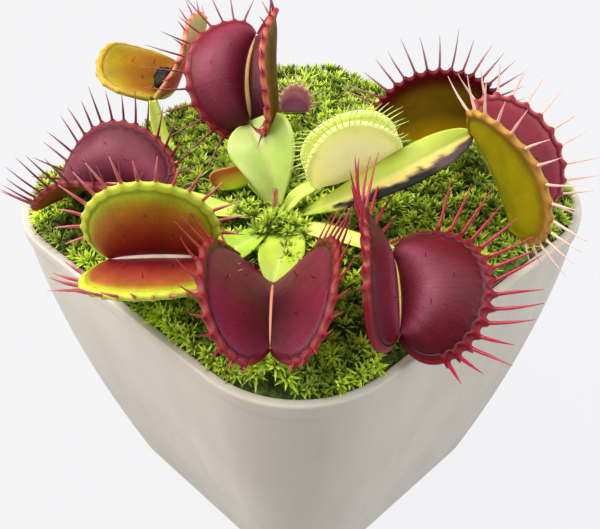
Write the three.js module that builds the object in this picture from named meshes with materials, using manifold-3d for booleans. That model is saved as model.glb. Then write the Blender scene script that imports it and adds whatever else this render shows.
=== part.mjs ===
// A potted venus flytrap: a tapered pot with rounded corners, growing mix, a cushion of moss, and a rosette of
// eleven leaves. Each leaf is a flat winged stalk that ends in a hinged trap with a fringe of stiff bristles.
// Millimetres, +Z up. The origin is the middle of the pot's flat underside, and +X-Y is the corner shown in front.

import * as THREE from 'three';
import { mergeVertices } from 'three/addons/utils/BufferGeometryUtils.js';
import Module from 'manifold-3d';

const wasm = await Module();
wasm.setup();

// Pot: half widths are from the middle to the flat of a side
const POT_HEIGHT = 82;
const RIM_HALF = 52.5;
const RIM_CORNER = 24;
const BASE_HALF = 35;
const BASE_CORNER = 12;
const WALL_SWEEP = 1.5;
const WALL = 2.2;
const FLOOR = 3;
const FOOT_ROUND = 1.2;
const LIP_HEIGHT = 3;
const LIP_STEP = 0.6;
const DRAIN_RADIUS = 4;
const DRAIN_OFFSET = 16;

// Filling
const SEAT_GAP = 0.3;
const SIDE_GAP = 0.4;
const MIX_TOP = 76;
const WALL_LEVELS = [12, 24, 38, 56, MIX_TOP];
const MOSS_EDGE = 1.2;
const MOSS_CUSHION = 4.3;
const MOSS_CROWNING = 1.2;

// Crown of the rosette, with the stump of a cut flower stalk
const CROWN_AT = new THREE.Vector3(6, -13.5, 0);
const CROWN_PROFILE = [[3, 76.3], [4.4, 79], [4.4, 84.6], [3.4, 87], [1.2, 88.6]];
const STUMP_RADIUS = 0.6;
const STUMP_TOP = 94;

// Leaves
const STALK_THICKNESS = 1.5;
const STALK_NECK = 1.1;
const LOBE_THICKNESS = 1.1;
const MARGIN_THICKNESS = 1.5;
const HINGE_RADIUS = 1.2;
const BRISTLE_RADIUS = 0.6;
const BRISTLE_ROOT = 0.9;
const BRISTLE_SPREAD = [0.14, 0.87];
const BLUNT_FROM = 0.7;
const SMALL_HINGE = 10;

const DEGREE = Math.PI / 180;

// Each trap: where its hinge starts, the heading, rise and turn of the hinge, then its size in mm and the angles in
// degrees that its lobes lean outwards. Curl bends a lobe back towards its margin, dome drops its ends, arch lifts
// the middle of the hinge and flare sets how far the lobe's widest part stands off the hinge. Blunt holds the far end
// of the lobes back, so that it comes no more than that many mm past the hinge. Bulge swells a lobe towards the
// opening. Spread is the part of the margin that bears bristles, and fade their relative length at its two ends.
// Where the lobes differ in curl, dome, bulge, lean, spread or fade, the left one's value comes first.
const LEAVES = [
  {
    name: 'front',
    trap: {
      at: [23.7, -31, 89], heading: -44.6, rise: 6.7, turn: 0, hinge: 20, width: 16,
      left: 61, right: 61, curl: -29.5, dome: -0.2, arch: 1.6, flare: 0.45, blunt: 26,
      bristles: 14, bristle: 9.5, lean: [2, -10], spread: [0.1, 0.86], fade: [1.25, 0.35],
    },
    stalk: [[8.6, -15, 87], [15.6, -20, 88.7], [20, -25.6, 89.4], [23.2, -30.5, 88.9]],
    halfWidth: 4.6, face: [0, 0, 1],
  },
  {
    name: 'front_right',
    trap: {
      at: [37.8, -12.2, 93.5], heading: -44, rise: -16, turn: -28, hinge: 17.5, width: 16.4,
      left: 47, right: 50, curl: 2, dome: 0.4, arch: 1.2, flare: 0.44, bulge: [2.6, 0.8],
      bristles: 13, bristle: 10.5, lean: [20, 10],
      spread: [[0.24, 0.78], [0.04, 0.62]], fade: [[1, 0.85], [1.6, 0.35]],
    },
    stalk: [[9, -14, 87], [17.4, -13.5, 89.4], [27, -12.4, 91.4], [37.2, -11.8, 93.6]],
    halfWidth: 2.6, face: [0, 0, 1],
  },
  {
    name: 'left',
    trap: {
      at: [10.1, -37.5, 91.7], heading: -136, rise: -2, turn: -33, hinge: 18.2, width: 17.3,
      left: 44, right: 33, curl: -7, dome: 0.1, arch: 0.7, flare: 0.41,
      bristles: 15, bristle: 7.5, lean: 20,
    },
    stalk: [[7.4, -16.6, 87], [10, -24, 89], [11.6, -31, 90.8], [10.5, -37.1, 91.7]],
    halfWidth: 3.4, face: [0.2, -0.2, 1],
  },
  {
    name: 'far_left',
    trap: {
      at: [-12.2, -30.9, 93.2], heading: -150, rise: -11, turn: 9, hinge: 23.2, width: 13.6,
      left: 67, right: 42, curl: -9, dome: 2.5, arch: 1.9, flare: 0.35, bulge: [0.4, 2.6],
      bristles: 17, bristle: 8, lean: 25,
    },
    stalk: [[4.6, -15.5, 87], [2, -20.8, 89.6], [-3.4, -26.6, 91.8], [-11.6, -30.6, 93.2]],
    halfWidth: 2.6, face: [0.1, -0.1, 1],
  },
  {
    name: 'top',
    trap: {
      at: [-8.8, -6.8, 101.9], heading: 131, rise: 37, turn: -36, hinge: 20.3, width: 12.7,
      left: 31, right: 48, curl: 13, dome: 1.1, arch: 2.2, flare: 0.4, bulge: [3.2, -4],
      bristles: 14, bristle: 5.5, lean: 20,
    },
    stalk: [[5.2, -13, 85.4], [2.8, -11.2, 92.6], [-1.6, -9.2, 98.4], [-8.3, -7.2, 101.6]],
    halfWidth: 8, face: [0.4, -0.55, 0.75],
  },
  {
    name: 'back_left',
    trap: {
      at: [-38.1, -11.3, 97.9], heading: 125, rise: -4, turn: -41, hinge: 21, width: 18.4,
      left: 26, right: 80, curl: [-12, -46], dome: 3.2, arch: -2.6, flare: 0.31, bulge: 1,
      bristles: 10, bristle: 5, lean: 15, bareLeft: true,
    },
    stalk: [[2, -14.2, 86.4], [-14, -15.5, 86.2], [-30, -14.7, 88.6], [-37.7, -11.8, 97.4]],
    halfWidth: 1.9, face: [0, 0, 1],
  },
  {
    name: 'back_right',
    trap: {
      at: [14.5, 14.7, 97.8], heading: 44, rise: 9, turn: -50, hinge: 18.9, width: 16.4,
      left: 45, right: 44, curl: 17, dome: 2.2, arch: -1, flare: 0.38,
      bristles: 18, bristle: 8.5, lean: 15,
    },
    stalk: [[5.6, -10, 87], [7, -2, 90], [10.4, 7.4, 93.6], [14.2, 14.2, 97.6]],
    halfWidth: 2.2, face: [0, 0, 1],
  },
  {
    name: 'right',
    trap: {
      at: [34.6, 15.9, 107], heading: 3.3, rise: -56.6, turn: -33.3, hinge: 21.5, width: 15.9,
      left: 50, right: 57, curl: [-25, -7], dome: 0.5, arch: 0.9, flare: 0.42, blunt: 8.7,
      bristles: 15, bristle: 8, lean: 25,
    },
    stalk: [[8.4, -11.4, 87], [20.1, -9.6, 96], [28.2, -1.4, 102.4], [34.1, 15.1, 107.2]],
    halfWidth: 4.4, shoulder: 2.4, face: [0.3, -0.3, 0.9],
  },
  {
    name: 'centre',
    trap: {
      at: [13.6, -7.9, 96.2], heading: 54, rise: 21, turn: -7, hinge: 17.5, width: 15.2,
      left: -1, right: 37, curl: -31, dome: [-0.8, 2], arch: -0.9, flare: 0.29,
      bristles: 13, bristle: 2.4, lean: 30,
    },
    stalk: [[7.4, -12.6, 87.4], [9, -11.8, 91], [11, -10.2, 94], [13.2, -8.4, 95.8]],
    halfWidth: 2, face: [0.2, -0.2, 1],
  },
  {
    name: 'small_back',
    trap: {
      at: [-14.4, 7.2, 96], heading: 70, rise: -15, turn: -56, hinge: 7.1, width: 6.1,
      left: 30, right: 30, curl: 12, dome: 1.2, arch: 0, flare: 0.3,
      bristles: 7, bristle: 5.5, lean: 15,
    },
    stalk: [[4.8, -10.6, 86.8], [-1.2, -3.4, 89.6], [-8.4, 3, 93], [-14.2, 6.9, 95.8]],
    halfWidth: 1.4, face: [0, 0, 1],
  },
  {
    name: 'bud',
    trap: {
      at: [-2, -13.3, 92], heading: -132, rise: -16, turn: 46, hinge: 6.2, width: 4.4,
      left: 22, right: 22, curl: -24, dome: 1, arch: -0.6, flare: 0.43,
      bristles: 0, bristle: 0, lean: 0,
    },
    stalk: [[4.4, -13.4, 87.2], [2.4, -12.6, 89.4], [0.2, -12.8, 91.2], [-1.9, -13.4, 92.1]],
    halfWidth: 1.6, face: [0.2, -0.2, 1],
  },
];

// Dried insect husk that lies on the hinge of the back left trap
const HUSK_LEAF = 'back_left';
const HUSK_PLACE = [6.5, -2.2, 0.8];
const HUSK_SIZE = [4.2, 3, 2.8];

const material = (color, roughness) => new THREE.MeshStandardMaterial({ color, roughness, metalness: 0 });
const MATERIALS = {
  pot: material(0xc9c2b8, 0.55),
  mix: material(0x3a2c20, 0.95),
  moss: material(0x6f9a2c, 0.9),
  crown: material(0xb98a72, 0.6),
  stalk: material(0xb7cf56, 0.45),
  maroon: material(0x6d1a30, 0.4),
  orange: material(0xa8742c, 0.45),
  yellow: material(0xa89a28, 0.45),
  pale: material(0xcfdc7e, 0.45),
  husk: material(0x17130f, 0.5),
};
const TRAP_MATERIALS = { back_left: 'orange', bud: 'orange', back_right: 'yellow', right: 'yellow', centre: 'pale' };

// Turns a closed geometry into a solid with its faces pointing out
function toSolid(geometry) {
  const bare = geometry.clone();
  bare.deleteAttribute('normal');
  bare.deleteAttribute('uv');
  const merged = mergeVertices(bare, 1e-5);
  const corners = [];
  const index = merged.index.array;
  for (let i = 0; i < index.length; i += 3) {
    const [a, b, c] = [index[i], index[i + 1], index[i + 2]];
    if (a !== b && b !== c && c !== a) corners.push(a, b, c);
  }
  const points = merged.attributes.position.array;
  if (signedVolume(points, corners) < 0) corners.reverse();
  return new wasm.Manifold(new wasm.Mesh({
    numProp: 3,
    vertProperties: new Float32Array(points),
    triVerts: new Uint32Array(corners),
  }));
}

function signedVolume(points, corners) {
  const [a, b, c] = [new THREE.Vector3(), new THREE.Vector3(), new THREE.Vector3()];
  let volume = 0;
  for (let i = 0; i < corners.length; i += 3) {
    a.fromArray(points, 3 * corners[i]);
    b.fromArray(points, 3 * corners[i + 1]);
    c.fromArray(points, 3 * corners[i + 2]);
    volume += a.dot(b.cross(c)) / 6;
  }
  return volume;
}

function toGeometry(solid) {
  const mesh = solid.getMesh();
  const geometry = new THREE.BufferGeometry();
  geometry.setAttribute('position', new THREE.BufferAttribute(mesh.vertProperties, 3));
  geometry.setIndex(new THREE.BufferAttribute(mesh.triVerts, 1));
  geometry.computeVertexNormals();
  return geometry;
}

// Skins a row of closed rings, each with the same number of points, and closes both ends
function loft(rings) {
  const count = rings[0].length;
  const points = rings.flat();
  const ends = [rings[0], rings[rings.length - 1]].map((ring) => {
    const middle = new THREE.Vector3();
    ring.forEach((point) => middle.add(point));
    return middle.divideScalar(count);
  });
  const first = points.length;
  points.push(...ends);
  const corners = [];
  for (let r = 0; r + 1 < rings.length; r += 1) {
    for (let i = 0; i < count; i += 1) {
      const j = (i + 1) % count;
      const [a, b, c, d] = [r * count + i, r * count + j, (r + 1) * count + j, (r + 1) * count + i];
      corners.push(a, b, c, a, c, d);
    }
  }
  const top = (rings.length - 1) * count;
  for (let i = 0; i < count; i += 1) {
    const j = (i + 1) % count;
    corners.push(first, j, i, first + 1, top + i, top + j);
  }
  const geometry = new THREE.BufferGeometry().setFromPoints(points);
  geometry.setIndex(corners);
  return toSolid(geometry);
}

const mix = (a, b, t) => a + (b - a) * t;

// One lobe's value out of a pair. Side is 1 for the left lobe and -1 for the right one.
const bySide = (value, side) => (Array.isArray(value) ? value[side > 0 ? 0 : 1] : value);
const rangeBySide = (range, side) => (Array.isArray(range[0]) ? bySide(range, side) : range);

function roundedSquare(half, corner, z, steps = 5) {
  const ring = [];
  for (let quarter = 0; quarter < 4; quarter += 1) {
    const start = quarter * 90 * DEGREE;
    const alongX = quarter === 0 || quarter === 3 ? 1 : -1;
    const alongY = quarter < 2 ? 1 : -1;
    for (let i = 0; i <= steps; i += 1) {
      const angle = start + (i / steps) * 90 * DEGREE;
      const x = alongX * (half - corner) + corner * Math.cos(angle);
      const y = alongY * (half - corner) + corner * Math.sin(angle);
      ring.push(new THREE.Vector3(x, y, z));
    }
  }
  return ring;
}

// The wall sweeps outwards quickly near the foot and stands steeper near the rim
function wallRing(z, inset) {
  const t = THREE.MathUtils.clamp(z / POT_HEIGHT, 0, 1);
  const sweep = 1 - (1 - t) ** WALL_SWEEP;
  const half = mix(BASE_HALF, RIM_HALF, sweep) - inset;
  const corner = mix(BASE_CORNER, RIM_CORNER, sweep) - inset;
  return roundedSquare(half, corner, z);
}

function potSolid() {
  const underLip = POT_HEIGHT - LIP_HEIGHT;
  const outside = [wallRing(0, FOOT_ROUND)];
  for (const share of [0.015, 0.14, 0.3, 0.5, 0.75]) {
    outside.push(wallRing(share * POT_HEIGHT, share * LIP_STEP));
  }
  outside.push(wallRing(underLip - LIP_STEP, LIP_STEP), wallRing(underLip, 0));
  outside.push(wallRing(POT_HEIGHT - LIP_STEP, 0), wallRing(POT_HEIGHT, LIP_STEP / 2));
  const inside = [];
  for (const z of [FLOOR, ...WALL_LEVELS, POT_HEIGHT]) inside.push(wallRing(z, WALL));
  inside.push(inside[inside.length - 1].map((point) => point.clone().setZ(POT_HEIGHT + WALL)));
  let pot = loft(outside).subtract(loft(inside));
  for (const x of [-DRAIN_OFFSET, DRAIN_OFFSET]) {
    for (const y of [-DRAIN_OFFSET, DRAIN_OFFSET]) {
      const hole = new THREE.CylinderGeometry(DRAIN_RADIUS, DRAIN_RADIUS, 4 * FLOOR, 16);
      hole.rotateX(90 * DEGREE);
      hole.translate(x, y, 0);
      pot = pot.subtract(toSolid(hole));
    }
  }
  return pot;
}

function mixSolid() {
  return loft([FLOOR + SEAT_GAP, ...WALL_LEVELS].map((z) => wallRing(z, WALL + SIDE_GAP)));
}

// Top of the moss at a point that lies a given share of the way from the middle to the pot's wall
function mossTop(x, y, share) {
  const cushion = MOSS_CUSHION * (1 - share ** 6) + MOSS_CROWNING * (1 - share ** 2);
  const lumps = 0.5 * Math.sin(0.33 * x + 1) * Math.cos(0.29 * y) + 0.35 * Math.sin(0.8 * x + 0.6 * y);
  return POT_HEIGHT + MOSS_EDGE + cushion + lumps * (1 - share ** 8);
}

function mossSolid() {
  const bottom = wallRing(MIX_TOP, WALL + SIDE_GAP).map((point) => point.clone().setZ(MIX_TOP + SEAT_GAP));
  const rings = [bottom];
  for (const share of [1, 0.94, 0.82, 0.62, 0.4, 0.18]) {
    rings.push(bottom.map((point) => {
      const [x, y] = [point.x * share, point.y * share];
      return new THREE.Vector3(x, y, mossTop(x, y, share));
    }));
  }
  return loft(rings);
}

function circleRing(middle, radius, sides) {
  const ring = [];
  for (let i = 0; i < sides; i += 1) {
    const angle = (i / sides) * 360 * DEGREE;
    ring.push(new THREE.Vector3(middle.x + radius * Math.cos(angle), middle.y + radius * Math.sin(angle), middle.z));
  }
  return ring;
}

function crownSolid(grow) {
  const at = (z) => CROWN_AT.clone().setZ(z);
  const body = CROWN_PROFILE.map(([radius, z], i) => {
    const end = i === 0 ? -grow : i === CROWN_PROFILE.length - 1 ? grow : 0;
    return circleRing(at(z + end), radius + grow, 14);
  });
  const stump = [circleRing(at(86), STUMP_RADIUS + grow, 8), circleRing(at(STUMP_TOP + grow), STUMP_RADIUS + grow, 8)];
  return loft(body).add(loft(stump));
}

// A flat winged stalk: narrow at the crown and at the neck under the trap, widest beyond its middle. A larger
// shoulder moves the widest part further towards the trap.
function stalkSolid(leaf, grow) {
  const curve = new THREE.CatmullRomCurve3(leaf.stalk.map((point) => new THREE.Vector3(...point)));
  const steps = 7;
  const rings = [];
  for (let i = 0; i <= steps; i += 1) {
    const s = i / steps;
    const along = curve.getTangent(s);
    const end = i === 0 ? -grow : i === steps ? grow : 0;
    const middle = curve.getPoint(s).addScaledVector(along, end);
    const face = new THREE.Vector3(...leaf.face);
    face.addScaledVector(along, -face.dot(along)).normalize();
    const across = new THREE.Vector3().crossVectors(along, face);
    const wing = Math.sin(Math.PI * s ** (leaf.shoulder ?? 1.6)) ** 0.7;
    const half = mix(STALK_NECK, leaf.halfWidth, i === 0 || i === steps ? 0 : wing);
    rings.push(stalkSection(middle, across, face, half, grow));
  }
  return loft(rings);
}

// Shallow channel above, keel below, and blunt wing edges
function stalkSection(middle, across, face, half, grow) {
  const shape = [[1, 0.6], [0, 0.3], [-1, 0.6], [-1, -0.1], [-0.5, -0.6], [0, -1.5], [0.5, -0.6], [1, -0.1]];
  const outline = shape.map(([u, v]) => new THREE.Vector2(u * half, (v * STALK_THICKNESS) / 2));
  return outline.map((point, i) => {
    const before = outline[(i + outline.length - 1) % outline.length];
    const after = outline[(i + 1) % outline.length];
    const facing = new THREE.Vector2(after.y - before.y, before.x - after.x).normalize();
    const { x, y } = point.clone().addScaledVector(facing, grow * 1.3);
    return middle.clone().addScaledVector(across, x).addScaledVector(face, y);
  });
}

function trapPlacement(trap) {
  const turn = new THREE.Euler(trap.turn * DEGREE, -trap.rise * DEGREE, trap.heading * DEGREE, 'ZYX');
  return new THREE.Matrix4().makeRotationFromEuler(turn).setPosition(...trap.at);
}

// Flat outline of a lobe: a round cut off by the hinge. Gives the margin point and the way it faces.
function lobeOutline(trap, share) {
  const rise = trap.flare * trap.width;
  const across = trap.width - rise;
  const start = Math.asin(rise / across);
  const along = trap.hinge / 2 / Math.cos(start);
  const angle = mix(Math.PI + start, -start, share);
  const point = new THREE.Vector2(trap.hinge / 2 + along * Math.cos(angle), rise + across * Math.sin(angle));
  const from = BLUNT_FROM * trap.hinge;
  if (trap.blunt && point.x > from) {
    const room = trap.hinge + trap.blunt - from;
    point.x = from + room * (1 - Math.exp((from - point.x) / room));
  }
  const facing = new THREE.Vector2(Math.cos(angle) / along, Math.sin(angle) / across).normalize();
  return { point, facing };
}

// Bends a flat point of a lobe into place
function lobePoint(trap, side, x, w) {
  const lean = (side > 0 ? trap.left : trap.right) * DEGREE;
  const bend = (bySide(trap.curl, side) * DEGREE) / trap.width;
  const angle = lean + bend * w;
  const straight = Math.abs(bend) < 1e-6;
  const out = straight ? w * Math.sin(lean) : (Math.cos(lean) - Math.cos(angle)) / bend;
  const up = straight ? w * Math.cos(lean) : (Math.sin(angle) - Math.sin(lean)) / bend;
  const end = (2 * x) / trap.hinge - 1;
  const drop = bySide(trap.dome, side) * end ** 2 * (w / trap.width);
  const point = new THREE.Vector3(x, side * (out + drop * Math.cos(angle)), up - drop * Math.sin(angle));
  point.z += trap.arch * (1 - end ** 2);
  const inner = new THREE.Vector3(0, -side * Math.cos(angle), Math.sin(angle));
  const outwards = new THREE.Vector3(0, side * Math.sin(angle), Math.cos(angle));
  return { point, inner, outwards };
}

function lobeSolid(trap, side, grow) {
  const rows = trap.hinge > SMALL_HINGE ? 7 : 4;
  const columns = trap.hinge > SMALL_HINGE ? 3 : 2;
  const bulge = bySide(trap.bulge ?? 0, side);
  const rings = [];
  for (let i = 0; i <= rows; i += 1) {
    const share = mix(0.05, 0.95, i / rows);
    const { point: margin, facing } = lobeOutline(trap, share);
    margin.addScaledVector(facing, grow);
    const end = i === 0 ? -grow : i === rows ? grow : 0;
    const foot = trap.hinge * share;
    const across = new THREE.Vector2(margin.x - foot, margin.y).normalize();
    const ring = [[], []];
    for (let j = 0; j <= columns; j += 1) {
      const v = j / columns;
      const [x, w] = [mix(foot, margin.x, v) + end * across.y, margin.y * v - end * across.x];
      const place = lobePoint(trap, side, x, w);
      const thick = j === columns ? MARGIN_THICKNESS : LOBE_THICKNESS;
      const swell = bulge * Math.sin(Math.PI * v) * Math.sin(Math.PI * share) ** 1.5;
      ring[0].push(place.point.clone().addScaledVector(place.inner, swell + grow));
      ring[1].unshift(place.point.clone().addScaledVector(place.inner, swell - thick - grow));
    }
    rings.push([...ring[0], ...ring[1]]);
  }
  return loft(rings);
}

function hingeSolid(trap, grow) {
  const sides = 6;
  const steps = 4;
  const rings = [];
  for (let i = 0; i <= steps; i += 1) {
    const end = (2 * i) / steps - 1;
    const reach = i === 0 ? -grow : i === steps ? grow : 0;
    const radius = HINGE_RADIUS * (i === 0 || i === steps ? 0.75 : 1) + grow;
    const ring = [];
    for (let k = 0; k < sides; k += 1) {
      const angle = (k / sides) * 360 * DEGREE;
      const x = (trap.hinge * (end + 1)) / 2 + reach;
      const z = trap.arch * (1 - end ** 2) - HINGE_RADIUS / 2 + radius * Math.sin(angle);
      ring.push(new THREE.Vector3(x, radius * Math.cos(angle), z));
    }
    rings.push(ring);
  }
  return loft(rings);
}

// Bristles follow the lobe outwards from its margin and lean in over the opening
function bristleSolids(trap, side, grow) {
  const [first, last] = rangeBySide(trap.spread ?? BRISTLE_SPREAD, side);
  const [start, finish] = rangeBySide(trap.fade ?? [1, 1], side);
  const lean = bySide(trap.lean, side) * DEGREE;
  const count = side > 0 && trap.bareLeft ? 0 : trap.bristles;
  const solids = [];
  for (let i = 0; i < count; i += 1) {
    const share = mix(first, last, i / (count - 1));
    const reach = mix(start, finish, i / (count - 1)) * (0.75 + 0.25 * Math.sin(Math.PI * share));
    const { point, facing } = lobeOutline(trap, share);
    const place = lobePoint(trap, side, point.x, point.y);
    const way = place.outwards.clone().multiplyScalar(facing.y).add(new THREE.Vector3(facing.x, 0, 0));
    way.multiplyScalar(Math.cos(lean)).addScaledVector(place.inner, Math.sin(lean));
    way.normalize();
    const length = trap.bristle * reach + BRISTLE_ROOT + grow;
    const bristle = new THREE.CylinderGeometry(2 * grow, BRISTLE_RADIUS + 2 * grow, length, 3);
    bristle.translate(0, length / 2 - BRISTLE_ROOT, 0);
    bristle.applyQuaternion(new THREE.Quaternion().setFromUnitVectors(new THREE.Vector3(0, 1, 0), way));
    const root = place.point.clone().addScaledVector(place.inner, -MARGIN_THICKNESS / 2);
    bristle.translate(root.x, root.y, root.z);
    solids.push(toSolid(bristle));
  }
  return solids;
}

function trapSolid(trap, grow) {
  const pieces = [lobeSolid(trap, 1, grow), lobeSolid(trap, -1, grow)];
  pieces.push(...bristleSolids(trap, 1, grow), ...bristleSolids(trap, -1, grow));
  const whole = pieces.reduce((sum, piece) => sum.add(piece), hingeSolid(trap, grow));
  return whole.transform(trapPlacement(trap).elements);
}

function huskSolid() {
  const lump = new THREE.IcosahedronGeometry(1, 2);
  const point = new THREE.Vector3();
  const points = lump.attributes.position;
  for (let i = 0; i < points.count; i += 1) {
    point.fromBufferAttribute(points, i);
    const swell = 1 + 0.14 * Math.sin(5 * point.x + 3 * point.y) * Math.cos(4 * point.z);
    points.setXYZ(i, point.x * swell, point.y * swell, point.z * swell);
  }
  lump.scale(...HUSK_SIZE);
  lump.translate(...HUSK_PLACE);
  const { trap } = LEAVES.find((leaf) => leaf.name === HUSK_LEAF);
  lump.applyMatrix4(trapPlacement(trap));
  return toSolid(lump);
}

function boxesMeet(one, other) {
  const [a, b] = [one.boundingBox(), other.boundingBox()];
  return [0, 1, 2].every((i) => a.min[i] < b.max[i] && b.min[i] < a.max[i]);
}

// Cuts a solid clear of its neighbours and drops the chips that this leaves
function clearOf(solid, neighbours) {
  let rest = solid;
  for (const neighbour of neighbours) {
    if (boxesMeet(rest, neighbour)) rest = rest.subtract(neighbour);
  }
  return rest.decompose().reduce((best, piece) => (piece.volume() > best.volume() ? piece : best));
}

const object = new THREE.Group();

function addPiece(name, solid, finish, placement = new THREE.Matrix4()) {
  const geometry = toGeometry(solid);
  geometry.applyMatrix4(placement.clone().invert());
  const mesh = new THREE.Mesh(geometry, MATERIALS[finish].clone());
  mesh.name = name;
  mesh.applyMatrix4(placement);
  object.add(mesh);
}

function addPlant() {
  const taken = [crownSolid(SEAT_GAP)];
  for (const { name, trap } of LEAVES) {
    const solid = clearOf(trapSolid(trap, 0), taken);
    taken.push(trapSolid(trap, SEAT_GAP));
    addPiece(`leaf_${name}_trap`, solid, TRAP_MATERIALS[name] ?? 'maroon', trapPlacement(trap));
  }
  addPiece('insect_husk', clearOf(huskSolid(), taken), 'husk');
  for (const leaf of LEAVES) {
    const solid = clearOf(stalkSolid(leaf, 0), taken);
    taken.push(stalkSolid(leaf, SEAT_GAP));
    addPiece(`leaf_${leaf.name}_stalk`, solid, 'stalk');
  }
  addPiece('crown', crownSolid(0), 'crown');
  addPiece('moss_cushion', clearOf(mossSolid(), taken), 'moss');
}

addPiece('pot', potSolid(), 'pot');
addPiece('growing_mix', mixSolid(), 'mix');
addPlant();

export default object;
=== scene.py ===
"""Looks of a potted venus flytrap: a smooth plastic pot, a carpet of star moss, and a rosette of leaves whose
traps have veined, waxy lobes, scalloped margins and curved bristles. Shapes are worked out in millimetres."""

import math
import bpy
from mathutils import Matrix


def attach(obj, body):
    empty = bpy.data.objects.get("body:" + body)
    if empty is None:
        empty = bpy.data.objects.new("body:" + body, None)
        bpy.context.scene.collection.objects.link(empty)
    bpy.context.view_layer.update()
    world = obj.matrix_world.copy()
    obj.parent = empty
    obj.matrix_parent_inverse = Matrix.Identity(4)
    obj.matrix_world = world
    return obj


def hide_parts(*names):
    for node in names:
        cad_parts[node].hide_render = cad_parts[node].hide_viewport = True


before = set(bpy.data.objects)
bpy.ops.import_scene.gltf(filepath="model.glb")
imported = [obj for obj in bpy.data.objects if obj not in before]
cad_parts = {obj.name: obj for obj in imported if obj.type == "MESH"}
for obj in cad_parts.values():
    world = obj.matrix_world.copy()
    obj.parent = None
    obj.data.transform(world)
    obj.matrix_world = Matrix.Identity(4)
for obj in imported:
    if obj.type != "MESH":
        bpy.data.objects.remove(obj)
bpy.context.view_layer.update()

from types import SimpleNamespace

import bpy
import numpy as np
from mathutils import Matrix, Vector

MM = 0.001
DEGREE = math.pi / 180

# Camera, fitted to the pot's rim and base corners
IMAGE_WIDTH = 600
CAMERA_YAW, CAMERA_PITCH, CAMERA_ROLL = 45.81, 39.39, -0.70
CAMERA_EYE = (125.05, -122.05, 205.59)
CAMERA_FOCAL_PX = 923.0
SENSOR_WIDTH = 36.0
FLOOR_HALF_M = 6.0

# Lights: target, then the way from it to the light along the camera's right, the camera's level back and up, in
# millimetres, then size in metres, power in watts and colour
LIGHTS = {
    "key": ((0, 0, 95), (-430, -40, 400), 0.5, 5.4, (1.0, 0.97, 0.93)),
    "fill": ((0, 0, 95), (460, 120, 280), 0.5, 2.2, (0.86, 0.95, 1.0)),
    "overhead": ((0, 0, 95), (0, -60, 560), 0.5, 3.4, (1.0, 0.99, 0.97)),
    "low": ((0, 0, 20), (-480, 160, 60), 0.4, 0.6, (1.0, 0.98, 0.95)),
}
SKY_TINT = (0.97, 0.98, 1.0, 1)
SKY_STRENGTH = 0.2

# Pot
POT_HEIGHT = 82.0
RIM_HALF = 52.5
RIM_CORNER = 24.0
BASE_HALF = 35.0
BASE_CORNER = 12.0
WALL_SWEEP = 1.5
WALL = 2.2
FLOOR = 3.0
LIP_HEIGHT = 3.0
LIP_STEP = 0.6
LIP_ROUND = 0.55
DRAIN_RADIUS = 4.0
DRAIN_OFFSET = 16.0
SHARP_ANGLE = 50 * DEGREE

# Moss. A tuft, where the shoots stand taller, is x, y, radius and height.
MIX_TOP = 76.0
SEAT_GAP = 0.3
MOSS_HALF = RIM_HALF - WALL - 0.4
MOSS_CORNER = RIM_CORNER - WALL - 0.4
MOSS_EDGE = 1.2
MOSS_CUSHION = 4.3
MOSS_CROWNING = 1.2
SHOOT_TUFTS = ((39.9, -46.8, 3.2, 6.6), (34, -46, 3, 2.4), (41, -40, 3, 2.6), (0.6, -21.5, 4, 1.6), (1.5, -15, 3.4, 2),
               (15, -15, 3.2, 1.6), (12.5, -9, 3.2, 2.2), (3.5, -8.5, 3.4, 2), (7, -5, 3, 2),
               (10.5, -18.5, 3.4, 2.4))
SHOOT_DEPTH = 1.7
SHOOT_JITTER = 0.42
EDGE_ROW = 0.985
GOLDEN_ANGLE = 2.39996
# The low shoots are darker than the tall ones: partly their own colour, partly painted shade in the gaps between the
# tall shoots.
LOW_SHOOT_TINTS = ((24, 36, 2), (104, 136, 4), (156, 190, 14))
TALL_SHOOT_TINTS = ((52, 74, 4), (160, 200, 14), (240, 248, 92))

# Crown: radius and height down its side, then the stump of a cut flower stalk
CROWN_AT = (6.0, -13.5)
CROWN_PROFILE = ((3.0, 76.4), (4.4, 79.0), (4.4, 84.6), (3.4, 87.0), (1.2, 88.6))
STUMP_RADIUS = 0.6
STUMP_FOOT = 86.0
STUMP_TOP = 94.0
CUT_DEPTH = 1.2

# Stalks
STALK_ROWS = 56
STALK_COLUMNS = 15
STALK_END_HALF = 1.0
STALK_LIFT = 0.2
WING_THICKNESS = 0.32
RIB_DEPTH = 0.95
GROOVE_DEPTH = 0.28
STALK_SHADE = (0.86, 0.95, 0.6)
RIB_TINT = (232, 226, 150)
STALK_FOOT_TINT = (120, 160, 44)
YELLOWED_TINT = (204, 182, 92)
BROWNED_TINT = (112, 76, 36)
DEAD_TINT = (9, 7, 7)
DEAD_TIP_TINT = (84, 66, 70)

# Traps. Hair radii are at the root, at two places on the way and at the tip.
LOBE_THICKNESS = 0.85
RIM_THICKNESS = 1.35
FULL_WIDTH = 14
BRISTLE_RADII = (1.3, 0.92, 0.74, 0.14)
BRISTLE_ROOT_RADIUS = 0.42
TRIGGER_RADII = (0.1, 0.085, 0.07, 0.03)
TRIGGER_TINTS = ((50, 10, 20), (50, 10, 20), (110, 44, 54))
TRIGGER_PLACES = ((0.36, 0.42), (0.64, 0.42), (0.5, 0.64))
TRAP_BACK_TINT = (176, 190, 84)
PAIRED = ("open", "curl", "dome", "bulge", "lean", "spread", "reach")
BLUNT_FROM = 0.7
FLESH, STIFF, FLESH_BACK = range(3)
LOBE_ROWS = 121
SMALL_LOBE_ROWS = 65
BLADE_V = np.linspace(0, 1, 17) ** 0.95
BAND_V = np.linspace(0, 1, 11)[1:]
BACK_V = np.linspace(1, 0, 16)
RIM_ANGLES = np.linspace(0, math.pi, 7)[1:-1]
TRAP_SLOTS = {"back_left": "trap_orange", "bud": "trap_orange", "back_right": "trap_olive", "right": "trap_olive",
              "centre": "trap_pale"}

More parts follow.
